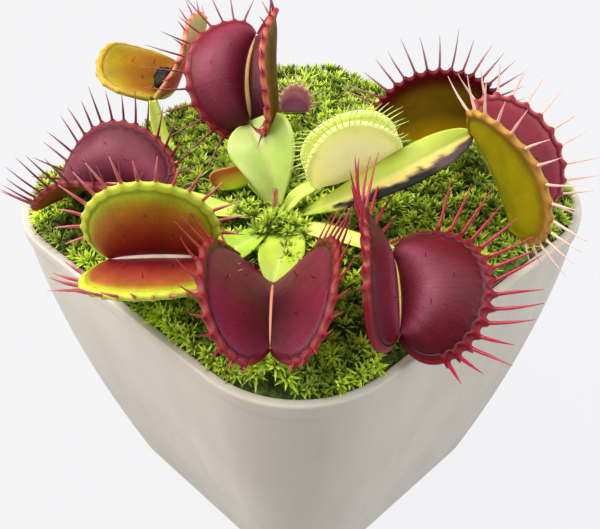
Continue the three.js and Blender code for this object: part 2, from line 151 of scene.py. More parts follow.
# Dried insect
HUSK_LEAF = "back_left"
HUSK_PLACE = (6.5, -2.2, 0.8)
HUSK_SIZE = (4.0, 2.8, 2.6)
HUSK_TINT = (5, 4, 5)
HUSK_WORN_TINT = (62, 56, 38)
LEG_ANGLES = (0.4, 1.1, 2.2, 3.6, 4.4, 5.4)
LEG_LENGTH = 2.0
LEG_RADII = (0.14, 0.12, 0.1, 0.04)
LEG_TINTS = ((20, 16, 14), (24, 18, 16), (30, 24, 20))

# Leaves. Angles are in degrees, colours are 0 to 255. A pair holds the left lobe's value and the right one's. A run
# of colours goes from the hinge, at 0, to the margin, at 1.
# The trap: at is the near end of its hinge, which heading, rise and turn point. Open is a lobe's angle from upright
# and curl how much more it leans at the margin. Dome sets its ends back, arch lifts the middle of the hinge, flare
# moves the widest part away from the hinge, and blunt is how far past the hinge the far end may reach. Bulge is how
# far the middle stands out on the inside, and belly moves that along. Band is the width of the fleshy margin and
# tooth the height of its teeth. Bristle is the length of the bristles and lean their tilt to the inside. Spread is
# the part of the margin that has them, reach and slim scale their length and thickness, and cord that of the midrib.
# The stalk: its line runs from the crown to the trap. Its wings rise by fold, its upper side looks to face, and
# shoulder moves the widest part towards the trap.
# The tints: rim is on the teeth and bead between them. Heel is on the near end, up to heel_reach of the margin.
# A painted shade factor darkens the groove inside the band. Bristle tints are for root, middle and tip.
USUAL = dict(
    turn=0, blunt=None, bulge=0, belly=1, bristles=0, lean=0, spread=((0.14, 0.87), (0.14, 0.87)), reach=1, slim=1,
    bare_left=False, cord=1, face=(0, 0, 1), fold=10, shoulder=1.6, dead_edge=False, heel_reach=0.2, veins=1,
    left_look={}, right_look={},
)
LEAVES = {
    "front": dict(
        at=(23.7, -31, 89), heading=-44.6, rise=6.7, hinge=20, width=16, open=61, curl=-29.5, dome=-0.2, arch=1.6,
        flare=0.45, blunt=26, band=1.1, tooth=0.8, bristles=17, bristle=9.5, lean=(2, -10),
        spread=((0.1, 0.86), (0.08, 0.86)), reach=((1.25, 0.35), (1.25, 0.35)), slim=0.75, cord=0.62,
        stalk=((8.6, -15, 87), (15.6, -20, 88.7), (20, -25.6, 89.4), (23.2, -30.5, 88.9)), half_width=4.6, fold=8,
        shoulder=1.15,
        inner={0: (36, 3, 9), 0.12: (64, 6, 17), 0.45: (90, 11, 31), 0.85: (104, 18, 46), 1: (80, 9, 28)},
        outer={0: (176, 178, 70), 0.5: (140, 128, 44), 1: (128, 60, 40)},
        rim=(112, 7, 22), band_tint=(70, 9, 24), bead=(138, 48, 46), heel=(114, 8, 70), heel_reach=0.6, crease=0.4,
        bristle_tints=((134, 18, 34), (154, 12, 38), (146, 40, 58)), midrib=(214, 140, 108), stalk_tint=(180, 198, 68),
    ),
    "front_right": dict(
        at=(37.8, -12.2, 93.5), heading=-44, rise=-16, turn=-28, hinge=17.5, width=16.4, open=(47, 50), curl=2,
        dome=0.4, arch=1.2, flare=0.44, bulge=(2.6, 0.8), band=1.1, tooth=1.5, bristles=15, bristle=10.5,
        lean=(20, 10), spread=((0.24, 0.78), (0.04, 0.62)), reach=((1, 0.85), (1.6, 0.35)),
        stalk=((9, -14, 87), (17.4, -13.5, 89.4), (27, -12.4, 91.4), (37.2, -11.8, 93.6)), half_width=2.6,
        # The paler band from 0.2 to 0.34 of the way to the margin is a painted highlight: a sheen on the bulge of the
        # lobes.
        inner={0: (78, 12, 18), 0.2: (112, 34, 50), 0.34: (136, 56, 80), 0.54: (100, 20, 38), 0.76: (88, 10, 24),
               1: (78, 7, 18)},
        outer={0: (224, 214, 110), 0.3: (198, 140, 66), 1: (150, 60, 50)},
        rim=(122, 12, 28), band_tint=(88, 12, 28), bead=(124, 36, 40), heel=(100, 34, 26), crease=0.7,
        bristle_tints=((136, 24, 40), (168, 16, 52), (164, 32, 66)), midrib=(226, 190, 106),
        stalk_tint=(224, 230, 120),
        right_look=dict(
            outer={0: (224, 214, 110), 0.3: (180, 110, 60), 0.7: (130, 40, 42), 1: (100, 15, 28)},
            bead=(156, 72, 62),
        ),
    ),
    "left": dict(
        at=(10.1, -37.5, 91.7), heading=-136, rise=-2, turn=-33, hinge=18.2, width=17.3, open=(44, 33), curl=-7,
        dome=0.1, arch=0.7, flare=0.41, bulge=(0.7, 0.9), band=1.1, tooth=0.45, bristles=15, bristle=7.5,
        lean=(20, -6), cord=1.9,
        stalk=((7.4, -16.6, 87), (10, -24, 89), (11.6, -31, 90.8), (10.5, -37.1, 91.7)), half_width=3.4,
        face=(0.2, -0.2, 1),
        inner={0: (136, 16, 26), 0.16: (140, 28, 24), 0.5: (160, 72, 30), 0.74: (174, 116, 24), 0.9: (166, 176, 26),
               1: (176, 200, 40)},
        outer={0: (170, 186, 70), 0.6: (170, 176, 60), 1: (190, 196, 66)},
        rim=(180, 186, 50), band_tint=(170, 190, 36), bead=(196, 206, 74), heel=(150, 110, 50), crease=0.9, veins=0.35,
        bristle_tints=((190, 130, 80), (170, 50, 70), (216, 140, 140)), midrib=(255, 232, 214),
        stalk_tint=(170, 204, 66),
        left_look=dict(
            inner={0: (96, 8, 18), 0.25: (110, 14, 24), 0.6: (138, 52, 36), 0.84: (148, 86, 36), 0.93: (170, 170, 36),
                   1: (186, 196, 48)},
        ),
    ),
    "far_left": dict(
        at=(-12.2, -30.9, 93.2), heading=-150, rise=-11, turn=9, hinge=23.2, width=13.6, open=(67, 42), curl=-9,
        dome=2.5, arch=1.9, flare=0.35, bulge=(0.4, 2.6), band=0.9, tooth=0.7, bristles=17, bristle=8, lean=25,
        reach=(1.2, 1), slim=0.75,
        stalk=((4.6, -15.5, 87), (2, -20.8, 89.6), (-3.4, -26.6, 91.8), (-11.6, -30.6, 93.2)), half_width=2.6,
        face=(0.1, -0.1, 1),
        inner={0: (62, 10, 24), 0.4: (106, 36, 54), 0.62: (108, 36, 54), 0.85: (90, 20, 36), 1: (80, 14, 28)},
        outer={0: (150, 120, 40), 0.4: (124, 66, 22), 0.8: (130, 60, 22), 1: (160, 60, 40)},
        rim=(112, 20, 34), band_tint=(98, 28, 40), bead=(136, 50, 46), heel=(80, 34, 30), crease=0.6, veins=0.5,
        bristle_tints=((112, 22, 34), (106, 22, 40), (146, 84, 98)), midrib=(200, 140, 110), stalk_tint=(196, 214, 90),
    ),
    "top": dict(
        at=(-8.8, -6.8, 101.9), heading=131, rise=37, turn=-36, hinge=20.3, width=12.7, open=(31, 48), curl=13,
        dome=1.1, arch=2.2, flare=0.4, bulge=(3.2, -5.2), belly=0.68, band=0.8, tooth=0.6, bristles=14, bristle=5.5,
        lean=(5, 20), reach=(1.6, 0.9), slim=0.7,
        stalk=((5.2, -13, 85.4), (2.8, -11.2, 92.6), (-1.6, -9.2, 98.4), (-8.3, -7.2, 101.6)), half_width=8,
        face=(0.4, -0.55, 0.75), fold=24, shoulder=2.1,
        inner={0: (74, 10, 24), 0.3: (112, 30, 50), 0.7: (126, 48, 68), 0.92: (120, 30, 46), 1: (150, 50, 52)},
        outer={0: (120, 112, 20), 0.2: (80, 62, 8), 0.8: (80, 56, 8), 0.93: (110, 70, 18), 1: (160, 96, 44)},
        # The nearly black heel, reaching far round the margin, is painted shade on the lower end of the lobes.
        rim=(122, 26, 38), band_tint=(100, 20, 36), bead=(160, 76, 62), heel=(30, 3, 8), heel_reach=0.6, crease=0.7,
        veins=0.7, bristle_tints=((130, 36, 44), (126, 28, 46), (140, 96, 112)), midrib=(236, 176, 130),
        stalk_tint=(186, 204, 116),
        right_look=dict(
            rim=(150, 26, 46), band_tint=(120, 22, 38), bead=(190, 104, 84),
        ),
    ),
    "back_left": dict(
        at=(-38.1, -11.3, 97.9), heading=125, rise=-4, turn=-41, hinge=21, width=18.4, open=(26, 80), curl=(-12, -46),
        dome=3.2, arch=-2.6, flare=0.31, bulge=1, band=0.7, tooth=0.5, bristles=10, bristle=5, lean=15, slim=0.7,
        bare_left=True,
        stalk=((2, -14.2, 86.4), (-14, -15.5, 86.2), (-30, -14.7, 88.6), (-37.7, -11.8, 97.4)), half_width=1.9,
        inner={0: (206, 110, 70), 0.4: (210, 84, 88), 0.8: (204, 74, 84), 1: (206, 204, 140)},
        outer={0: (170, 180, 50), 0.5: (190, 160, 40), 1: (176, 150, 36)},
        rim=(180, 150, 40), band_tint=(164, 126, 24), bead=(190, 160, 50), heel=(176, 150, 36), crease=0.95,
        bristle_tints=((214, 140, 110), (186, 90, 96), (160, 120, 124)), midrib=(206, 190, 70),
        stalk_tint=(186, 196, 66),
        left_look=dict(
            inner={0: (150, 110, 16), 0.35: (140, 88, 9), 0.6: (146, 100, 9), 0.8: (154, 124, 10), 1: (150, 140, 20)},
        ),
        right_look=dict(
            outer={0: (196, 110, 76), 0.3: (196, 46, 60), 0.55: (190, 50, 62), 0.75: (204, 140, 96),
                   0.9: (206, 180, 120), 1: (206, 176, 110)},
            rim=(194, 92, 76), band_tint=(196, 96, 80), bead=(206, 140, 100),
        ),
    ),
    "back_right": dict(
        at=(14.5, 14.7, 97.8), heading=44, rise=9, turn=-50, hinge=18.9, width=16.4, open=(45, 44), curl=17, dome=2.2,
        arch=-1, flare=0.38, bulge=(0.5, -0.6), band=1.2, tooth=1.1, bristles=18, bristle=8.5, lean=15, slim=0.66,
        stalk=((5.6, -10, 87), (7, -2, 90), (10.4, 7.4, 93.6), (14.2, 14.2, 97.6)), half_width=2.2,
        inner={0: (110, 20, 30), 0.5: (136, 28, 44), 1: (150, 34, 44)},
        outer={0: (226, 180, 20), 0.2: (196, 150, 20), 0.4: (132, 102, 18), 0.74: (122, 88, 16), 0.86: (92, 48, 14),
               0.92: (88, 18, 18), 1: (100, 12, 24)},
        rim=(94, 10, 22), band_tint=(98, 14, 26), bead=(112, 24, 32), heel=(110, 60, 24), crease=0.8, veins=0.4,
        bristle_tints=((120, 18, 30), (150, 76, 84), (176, 150, 156)), midrib=(200, 170, 60),
        stalk_tint=(184, 196, 66),
    ),
    "right": dict(
        at=(34.6, 15.9, 107), heading=3.3, rise=-56.6, turn=-33.3, hinge=21.5, width=15.9, open=(50, 57),
        curl=(-25, -7), dome=0.5, arch=0.9, flare=0.42, blunt=8.7, bulge=(1, -0.8), band=0.7, tooth=0.8, bristles=15,
        bristle=8, lean=(-3, -5), reach=(1, 1.15), slim=0.8,
        stalk=((8.4, -11.4, 87), (20.1, -9.6, 96), (28.2, -1.4, 102.4), (34.1, 15.1, 107.2)), half_width=4.4,
        face=(0.3, -0.3, 0.9), fold=6, shoulder=2.4, dead_edge=True,
        inner={0: (124, 18, 32), 0.5: (116, 10, 33), 0.85: (128, 22, 42), 1: (156, 64, 68)},
        outer={0: (170, 160, 30), 0.35: (158, 146, 16), 0.84: (152, 136, 18), 0.91: (104, 70, 16),
               0.95: (150, 112, 34), 1: (170, 120, 60)},
        rim=(164, 112, 44), band_tint=(150, 50, 56), bead=(180, 140, 60), heel=(176, 130, 36), crease=0.8, veins=0.5,
        bristle_tints=((230, 196, 150), (236, 192, 174), (230, 176, 170)), midrib=(220, 200, 90),
        stalk_tint=(186, 196, 62),
        left_look=dict(
            rim=(136, 30, 50), band_tint=(110, 14, 36), bead=(190, 96, 90), crease=0.6,
        ),
    ),
    "centre": dict(
        at=(13.6, -7.9, 96.2), heading=54, rise=21, turn=-7, hinge=17.5, width=15.2, open=(-1, 37), curl=-31,
        dome=(-0.8, 2), arch=-0.9, flare=0.29, bulge=(0, -0.8), band=0.4, tooth=0.12, bristles=26, bristle=2.4,
        lean=(0, -16), reach=(2, 1.5), slim=0.42,
        stalk=((7.4, -12.6, 87.4), (9, -11.8, 91), (11, -10.2, 94), (13.2, -8.4, 95.8)), half_width=2,
        face=(0.2, -0.2, 1),
        inner={0: (228, 204, 140), 0.5: (228, 214, 154), 0.85: (216, 222, 142), 1: (196, 224, 110)},
        outer={0: (238, 246, 150), 0.25: (255, 255, 204), 0.65: (255, 248, 200), 0.88: (250, 252, 166),
               1: (232, 250, 136)},
        rim=(222, 242, 130), band_tint=(222, 242, 134), bead=(224, 242, 132), heel=(214, 224, 120), crease=1, veins=0,
        bristle_tints=((206, 228, 126), (196, 220, 120), (186, 212, 112)), midrib=(216, 222, 130),
        stalk_tint=(196, 216, 96),
    ),
    "small_back": dict(
        at=(-14.4, 7.2, 96), heading=70, rise=-15, turn=-56, hinge=7.1, width=6.1, open=30, curl=12, dome=1.2, arch=0,
        flare=0.3, bulge=(0.4, -0.4), band=0.5, tooth=0.4, bristles=9, bristle=5.5, lean=15,
        stalk=((4.8, -10.6, 86.8), (-1.2, -3.4, 89.6), (-8.4, 3, 93), (-14.2, 6.9, 95.8)), half_width=1.4,
        inner={0: (118, 44, 80), 0.5: (140, 66, 100), 1: (196, 120, 130)},
        outer={0: (150, 96, 120), 0.5: (142, 70, 98), 1: (196, 130, 120)},
        rim=(196, 140, 120), band_tint=(160, 90, 110), bead=(200, 150, 130), heel=(140, 80, 80), crease=0.9,
        bristle_tints=((206, 160, 130), (190, 170, 130), (176, 176, 130)), midrib=(200, 150, 110),
        stalk_tint=(176, 196, 80),
    ),
    "bud": dict(
        at=(-2, -13.3, 92), heading=-132, rise=-16, turn=46, hinge=6.2, width=4.4, open=22, curl=-24, dome=1,
        arch=-0.6, flare=0.43, band=0.4, tooth=0,
        stalk=((4.4, -13.4, 87.2), (2.4, -12.6, 89.4), (0.2, -12.8, 91.2), (-1.9, -13.4, 92.1)), half_width=1.6,
        face=(0.2, -0.2, 1),
        inner={0: (210, 160, 70), 1: (214, 170, 80)},
        outer={0: (166, 196, 44), 0.4: (180, 176, 44), 0.7: (176, 124, 42), 1: (150, 70, 36)},
        rim=(190, 110, 60), band_tint=(200, 140, 66), bead=(200, 130, 70), heel=(190, 180, 70), crease=1,
        midrib=(206, 190, 80), stalk_tint=(160, 200, 70),
    ),
}
for spec in LEAVES.values():
    for key, value in USUAL.items():
        spec.setdefault(key, value)


def linear(colour):
    """Display colours, 0 to 255, as the linear colours that a shader takes."""
    share = np.asarray(colour, float) / 255
    return np.where(share <= 0.04045, share / 12.92, ((share + 0.055) / 1.055) ** 2.4)


def stacked(*parts):
    """Values of several arrays side by side, as the last axis of one."""
    return np.stack(np.broadcast_arrays(*parts), axis=-1)


def colour_run(stops, share):
    """Colour at each share of the way along a run of stops."""
    return stacked(*(np.interp(share, list(stops), channel) for channel in linear(list(stops.values())).T))


def blend(one, other, share):
    """Mix of two linear colours by a share for each point."""
    return one + (other - one) * np.asarray(share)[..., None]


def toward(tints, colour, share):
    """Linear tints mixed with a display colour."""
    return blend(tints, linear(colour), share)


def smooth_step(low, high, value):
    t = np.clip((value - low) / (high - low), 0, 1)
    return t * t * (3 - 2 * t)


def hump(distance, width):
    """1 at no distance, falling to 0 beyond the given width."""
    return np.exp(-(distance / width) ** 2)


def unit(vectors):
    return vectors / np.linalg.norm(vectors, axis=-1, keepdims=True)


def ring_angles(count):
    return np.linspace(0, 2 * math.pi, count, endpoint=False)


def ripple(points, scale, seed=0.0):
    """Smooth uneven value between about -1 and 1 that changes over the given length. Its numbers are arbitrary."""
    p = np.asarray(points, float) / scale + seed
    x, y, z = p[..., 0], p[..., 1], p[..., 2]
    first = np.sin(x * 2.1 + 1.7 * np.sin(y * 1.3 + seed) + z)
    second = np.sin(y * 2.7 + 1.9 * np.sin(z * 1.7 + x * 0.6) + 2.1)
    third = np.sin(z * 2.3 + 1.5 * np.sin(x * 1.9 - y * 0.8) + 4.2)
    return (first + second + third) / 3


def grid_faces(rows, columns):
    """Triangles between rings of points."""
    i, j = np.arange(rows - 1)[:, None], np.arange(columns)
    after = (j + 1) % columns
    a, b, c, d = i * columns + j, i * columns + after, (i + 1) * columns + after, (i + 1) * columns + j
    return np.concatenate([stacked(a, b, c).reshape(-1, 3), stacked(a, c, d).reshape(-1, 3)])


def new_object(name, data, matrix=Matrix()):
    """An object in the scene, in its place."""
    thing = bpy.data.objects.new(name, data)
    thing.matrix_world = matrix
    bpy.context.scene.collection.objects.link(thing)
    return thing


class Shape:
    """Triangles that grow piece by piece. Each point has a tint and a mark: how far along and across it lies."""

    def __init__(self):
        self.points, self.faces, self.tints, self.marks, self.kinds = [], [], [], [], []
        self.count = 0

    def add(self, points, faces, tints, marks=None, kind=FLESH):
        self.points.append(points)
        self.faces.append(faces + self.count)
        self.tints.append(tints)
        self.marks.append(np.zeros_like(points) if marks is None else marks)
        self.kinds.append(np.full(len(faces), kind))
        self.count += len(points)

    def add_grid(self, grid, tints, marks=None, kind=FLESH):
        """Tube through rows of points, each a ring, with both ends capped. Kind can differ by column."""
        rows, columns = grid.shape[:2]
        faces = grid_faces(rows, columns)
        if np.ndim(kind):
            kind = np.append(np.asarray(kind)[faces.min(axis=1) % columns], np.zeros(2 * columns, int))
        end, last = rows * columns, (rows - 1) * columns
        around = np.arange(columns)
        after = (around + 1) % columns
        caps = [stacked(end, after, around), stacked(end + 1, last + around, last + after)]
        points = np.vstack([grid.reshape(-1, 3), grid[0].mean(axis=0), grid[-1].mean(axis=0)])
        tints = np.broadcast_to(tints, grid.shape).reshape(-1, 3)
        if marks is not None:
            marks = marks.reshape(-1, 3)
            marks = np.vstack([marks, marks[0], marks[-1]])
        self.add(points, np.vstack([faces, *caps]), np.vstack([tints, tints[0], tints[-1]]), marks, kind)

    def build(self, name, materials, slot, stands_for=None, placement=None):
        """The piece itself. It rides on the body and stands for a CAD node, if one is named."""
        points = np.vstack(self.points) * MM
        if placement is not None:
            matrix = np.array(placement)
            points = points @ matrix[:3, :3].T + matrix[:3, 3]
        mesh = bpy.data.meshes.new(name)
        mesh.from_pydata(points, [], np.vstack(self.faces))
        mesh.polygons.foreach_set("material_index", np.concatenate(self.kinds).astype(np.int32))
        mesh.shade_smooth()
        for label, values in (("tint", self.tints), ("mark", self.marks)):
            layer = mesh.color_attributes.new(label, "FLOAT_COLOR", "POINT")
            values = np.vstack(values)
            layer.data.foreach_set("color", np.hstack([values, np.ones((len(values), 1))]).astype(np.float32).ravel())
        for material in materials:
            mesh.materials.append(material)
        piece = new_object(name, mesh)
        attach(piece, "root")
        if stands_for:
            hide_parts(stands_for)
        return piece


# Materials

class Surface:
    """A material and its nodes. Values that come with its name are the same all over it."""

    def __init__(self, name, roughness, **values):
        self.material = bpy.data.materials.new(name)
        self.material.use_nodes = True
        self.tree = self.material.node_tree
        self.shader = self.tree.nodes["Principled BSDF"]
        for label, value in {"Roughness": roughness, **values}.items():
            self.shader.inputs[label.replace("_", " ")].default_value = value

    def add(self, kind, **values):
        """New node. A value sets the input with its label, or feeds it if the value is a socket, or is a property."""
        node = self.tree.nodes.new("ShaderNode" + kind)
        for label, value in values.items():
            socket = node.inputs.get(label.replace("_", " "))
            if socket is None:
                setattr(node, label, value)
            elif isinstance(value, bpy.types.NodeSocket):
                self.tree.links.new(value, socket)
            else:
                socket.default_value = value
        return node

    def feed(self, label, source):
        self.tree.links.new(source, self.shader.inputs[label])

    def layer(self, name):
        return self.add("VertexColor", layer_name=name).outputs["Color"]

    def noise(self, scale, detail=3.0, place=None):
        """Noise over the object's own place, in repeats a metre."""
        place = place or self.add("TexCoord").outputs["Object"]
        return self.add("TexNoise", Scale=scale, Detail=detail, Vector=place).outputs["Fac"]

    def ramp(self, source, stops):
        """Run of greys or display colours, picked by the source."""
        node = self.add("ValToRGB", Fac=source)
        elements = node.color_ramp.elements
        while len(elements) < len(stops):
            elements.new(0.5)
        for element, (place, value) in zip(elements, stops.items()):
            element.position = place
            element.color = (*(linear(value) if isinstance(value, tuple) else (value,) * 3), 1)
        return node.outputs["Color"]

    def product(self, one, other, share=1.0):
        return self.add("Mix", data_type="RGBA", blend_type="MULTIPLY", Factor=share, A=one, B=other).outputs["Result"]

    def tint(self, strength, scale, low, high):
        """The points' own tint, mottled by noise."""
        return self.product(self.layer("tint"), self.ramp(self.noise(scale), {0.3: low, 0.7: high}), strength)

    def bump(self, source, distance, strength=1.0):
        self.feed("Normal", self.add("Bump", Distance=distance, Strength=strength, Height=source).outputs["Normal"])


def tinted_material(name, roughness, mottle, grain=None, **values):
    """Points' own tints with a mottle: strength, scale, low and high. Grain: scale, detail and depth of bumps."""
    skin = Surface(name, roughness, **values)
    skin.feed("Base Color", skin.tint(*mottle))
    if grain:
        skin.bump(skin.noise(*grain[:2]), grain[2])
    return skin.material


def crumbly_material(name, roughness, scale, detail, tints, grain):
    """Noise of several colours over crumbs. Grain: scale, detail and depth of bumps."""
    crumbs = Surface(name, roughness)
    crumbs.feed("Base Color", crumbs.ramp(crumbs.noise(scale, detail), tints))
    crumbs.bump(crumbs.noise(*grain[:2]), grain[2])
    return crumbs.material


def flesh_material(name, gloss, glow, depth=0.0012, radius=(1.0, 0.35, 0.25), **values):
    """Waxy trap flesh: fine veins run from the hinge to the margin, strongest on the inside."""
    skin = Surface(name, 0.4, Subsurface_Weight=glow, Subsurface_Scale=depth, Subsurface_Radius=radius,
                   Specular_IOR_Level=gloss, **values)
    mark = skin.add("SeparateColor", Color=skin.layer("mark")).outputs
    place = skin.add("CombineXYZ", X=mark["Red"], Y=mark["Green"]).outputs["Vector"]
    wave = skin.add("TexWave", bands_direction="X", Scale=13.0, Distortion=3.4, Detail=3.0, Detail_Scale=2.2,
                    Vector=place)
    veins = skin.ramp(wave.outputs["Fac"], {0.0: 0.89, 0.5: 1.0, 1.0: 1.05})
    skin.feed("Base Color", skin.product(skin.tint(0.7, 420.0, 0.84, 1.1), veins, mark["Blue"]))
    skin.bump(skin.noise(2400.0, 2.0), 0.0001, 0.6)
    skin.feed("Roughness", skin.ramp(skin.noise(340.0), {0.3: 0.36, 0.75: 0.5}))
    return skin.material


def stalk_material():
    """Smooth green blade with fine lines along it. Dead parts are dull."""
    skin = Surface("stalk_flesh", 0.36, Subsurface_Weight=0.2, Subsurface_Scale=0.002,
                   Subsurface_Radius=(0.6, 1.0, 0.25), Specular_IOR_Level=0.45)
    mark = skin.layer("mark")
    wave = skin.add("TexWave", bands_direction="Y", Scale=7.0, Distortion=1.4, Detail=2.0, Vector=mark).outputs["Fac"]
    lines = skin.ramp(wave, {0.0: 0.96, 0.6: 1.0, 1.0: 1.02})
    skin.feed("Base Color", skin.product(skin.tint(0.7, 260.0, 0.86, 1.08), lines))
    dead = skin.add("SeparateColor", Color=mark).outputs["Blue"]
    skin.feed("Roughness", skin.ramp(dead, {0.0: 0.4, 1.0: 0.92}))
    skin.bump(wave, 0.00005, 0.3)
    return skin.material


def pot_material():
    """Warm grey plastic, a little streaked and scuffed, with painted shade that darkens it towards the foot."""
    shell = Surface("pot_plastic", 0.5, Specular_IOR_Level=0.4)
    place = shell.add("TexCoord").outputs["Object"]
    upright = shell.add("Mapping", Vector=place, Scale=(1.0, 1.0, 0.16)).outputs["Vector"]
    streaks = shell.noise(150.0, 4.0, upright)
    height = shell.add("Math", operation="MULTIPLY")
    shell.tree.links.new(shell.add("SeparateXYZ", Vector=place).outputs["Z"], height.inputs[0])
    height.inputs[1].default_value = 1 / (POT_HEIGHT * MM)
    colour = shell.ramp(shell.noise(26.0), {0.3: (186, 177, 163), 0.5: (192, 183, 170), 0.7: (198, 190, 178)})
    # Painted shade: the colour darkens towards the foot of the pot.
    colour = shell.product(colour, shell.ramp(height.outputs["Value"], {0.1: 0.86, 0.6: 1.0}))
    colour = shell.product(colour, shell.ramp(streaks, {0.24: 0.8, 0.36: 0.97, 0.7: 1.0}), 0.6)
    specks = shell.ramp(shell.noise(900.0, 2.0), {0.24: 0.72, 0.3: 1.0})
    shell.feed("Base Color", shell.product(colour, specks, 0.5))
    shell.feed("Roughness", shell.ramp(streaks, {0.3: 0.6, 0.7: 0.42}))
    shell.bump(shell.noise(1800.0), 0.00004, 0.5)
    return shell.material


def floor_material():
    """Evenly lit studio table: it glows a little, so that hardly a shadow shows."""
    table = Surface("pale_floor", 0.9, Base_Color=(0.02, 0.02, 0.02, 1), Specular_IOR_Level=0.0,
                    Emission_Strength=0.97)
    table.feed("Emission Color", table.ramp(table.noise(3.0), {0.3: (243, 243, 245), 0.7: (244, 244, 246)}))
    return table.material


# Pot

def rounded_square(half, corner, z=0.0, steps=14):
    """Points round a square with rounded corners."""
    turns = np.arange(4)[:, None] * 90 * DEGREE
    angle = turns + np.linspace(0, 90 * DEGREE, steps + 1)[None, :]
    x = np.array([1, -1, -1, 1])[:, None] * (half - corner) + corner * np.cos(angle)
    y = np.array([1, 1, -1, -1])[:, None] * (half - corner) + corner * np.sin(angle)
    return stacked(x, y, z).reshape(-1, 3)


def wall_ring(z, inset):
    """The pot's wall at one height. It curves a little from the foot to the rim."""
    sweep = 1 - (1 - np.clip(z / POT_HEIGHT, 0, 1)) ** WALL_SWEEP
    half = BASE_HALF + (RIM_HALF - BASE_HALF) * sweep - inset
    corner = BASE_CORNER + (RIM_CORNER - BASE_CORNER) * sweep - inset
    return rounded_square(half, max(corner, 0.5), z)


def pot_profile():
    """Height and inset of each ring, up the outside, over the rim and down the inside."""
    under_lip = POT_HEIGHT - LIP_HEIGHT
    top = POT_HEIGHT - LIP_ROUND
    turn = [angle * DEGREE for angle in (0, 30, 60, 90)]
    foot = [(0.0, 1.6), (0.12, 1.0), (0.5, 0.45), (1.1, 0.12)]
    outside = [(z, LIP_STEP * z / POT_HEIGHT) for z in np.linspace(2.2, under_lip - 2 * LIP_STEP, 30)]
    step = [(under_lip - LIP_STEP, LIP_STEP), (under_lip - 0.4, 0.42), (under_lip, 0.08), (under_lip + 0.3, 0.0)]
    over = [(top + LIP_ROUND * math.sin(a), LIP_ROUND - LIP_ROUND * math.cos(a)) for a in turn]
    back = [(top + LIP_ROUND * math.cos(a), WALL - LIP_ROUND + LIP_ROUND * math.sin(a)) for a in turn]
    inside = [(z, WALL) for z in np.linspace(under_lip, FLOOR + 2, 14)]
    return foot + outside + step + over + back + inside + [(FLOOR + 0.6, WALL + 0.5), (FLOOR, WALL + 2)]


def make_pot(material):
    shape = Shape()
    shape.add_grid(np.array([wall_ring(z, inset) for z, inset in pot_profile()]), (1, 1, 1))
    pot = shape.build("pot_shell", [material], "pot", "pot")
    for x in (-DRAIN_OFFSET, DRAIN_OFFSET):
        for y in (-DRAIN_OFFSET, DRAIN_OFFSET):
            bpy.ops.mesh.primitive_cylinder_add(
                vertices=40, radius=DRAIN_RADIUS * MM, depth=4 * FLOOR * MM, location=(x * MM, y * MM, 0))
            drill = bpy.context.object
            cut = pot.modifiers.new("drain", "BOOLEAN")
            cut.object, cut.operation, cut.solver = drill, "DIFFERENCE", "EXACT"
            bpy.context.view_layer.update()
            cut_mesh = bpy.data.meshes.new_from_object(pot.evaluated_get(bpy.context.evaluated_depsgraph_get()))
            pot.modifiers.clear()
            pot.data = cut_mesh
            bpy.data.objects.remove(drill)
    pot.data.shade_smooth()
    pot.data.set_sharp_from_angle(angle=SHARP_ANGLE)


# Moss

def wall_share(x, y):
    """How far each point lies on the way from the middle to the edge of the moss."""
    x, y = np.abs(x), np.abs(y)
    flat = np.maximum(x, y) / MOSS_HALF
    inner = MOSS_HALF - MOSS_CORNER
    total, square = inner * (x + y), x * x + y * y + 1e-9
    root = np.sqrt(np.maximum(total ** 2 - square * (2 * inner ** 2 - MOSS_CORNER ** 2), 0))
    at_corner = np.minimum(x, y) / np.maximum(flat, 1e-9) > inner
    return np.where(at_corner, square / (total + root + 1e-9), flat)


def moss_top(x, y, share):
    """Height of the moss: level at the edge, rounded off there, and lumpy inside."""
    cushion = MOSS_CUSHION * (1 - share ** 6) + MOSS_CROWNING * (1 - share ** 2)
    lumps = 0.5 * np.sin(0.33 * x + 1) * np.cos(0.29 * y) + 0.35 * np.sin(0.8 * x + 0.6 * y)
    return POT_HEIGHT + MOSS_EDGE + cushion + lumps * (1 - share ** 8)


def make_ground(material):
    """The cushion under the shoots, down to the growing mix."""
    edge = rounded_square(MOSS_HALF, MOSS_CORNER)
    rings = [edge * share + (0, 0, MIX_TOP + SEAT_GAP) for share in (0.02, 0.5, 1)]
    for share in (1.0, 0.995, 0.98, 0.96, *np.linspace(0.93, 0.04, 34)):
        ring = edge * share
        ring[:, 2] = moss_top(ring[:, 0], ring[:, 1], share) - SHOOT_DEPTH + 0.35 * ripple(ring, 3.1)
        rings.append(ring)
    shape = Shape()
    shape.add_grid(np.array(rings), (1, 1, 1))
    shape.build("moss_ground", [material], "moss", "moss_cushion")


def shoot_pattern(rng, count, length, lowest, highest):
    """One star of pointed leaves, spreading ones below and upright ones above: points, triangles and brightness."""
    level = np.linspace(0, 1, count)
    twist, tilt, reach, wide = rng.uniform((-0.3, -10, 0.8, 0.8), (0.3, 10, 1.2, 1.25), (count, 4)).T
    azimuth = np.arange(count) * GOLDEN_ANGLE + twist
    lift = (lowest + (highest - lowest) * level + tilt) * DEGREE
    reach = (length * (1 - 0.4 * level) * reach)[:, None]
    out = stacked(np.cos(azimuth), np.sin(azimuth), 0)
    half = stacked(-out[:, 1], out[:, 0], 0) * (0.1 * length * wide)[:, None]
    way = stacked(out[:, 0] * np.cos(lift), out[:, 1] * np.cos(lift), np.sin(lift))
    start = out * 0.12 + stacked(0, 0, -0.5 + 0.7 * level) * length * 0.5
    middle = start + way * reach * 0.45
    tip = start + way * reach + (out * 0.3 - (0, 0, 0.3)) * reach * 0.3
    points = np.stack([start - half * 0.5, start + half * 0.5, middle - half, middle + half, tip], axis=1)
    shades = stacked(0, 0, 0.45 + 0.25 * level, 0.45 + 0.25 * level, 0.75 + 0.25 * level)
    faces = np.arange(count)[:, None, None] * 5 + ((0, 1, 3), (0, 3, 2), (2, 3, 4))
    return points.reshape(-1, 3), faces.reshape(-1, 3), shades.ravel()


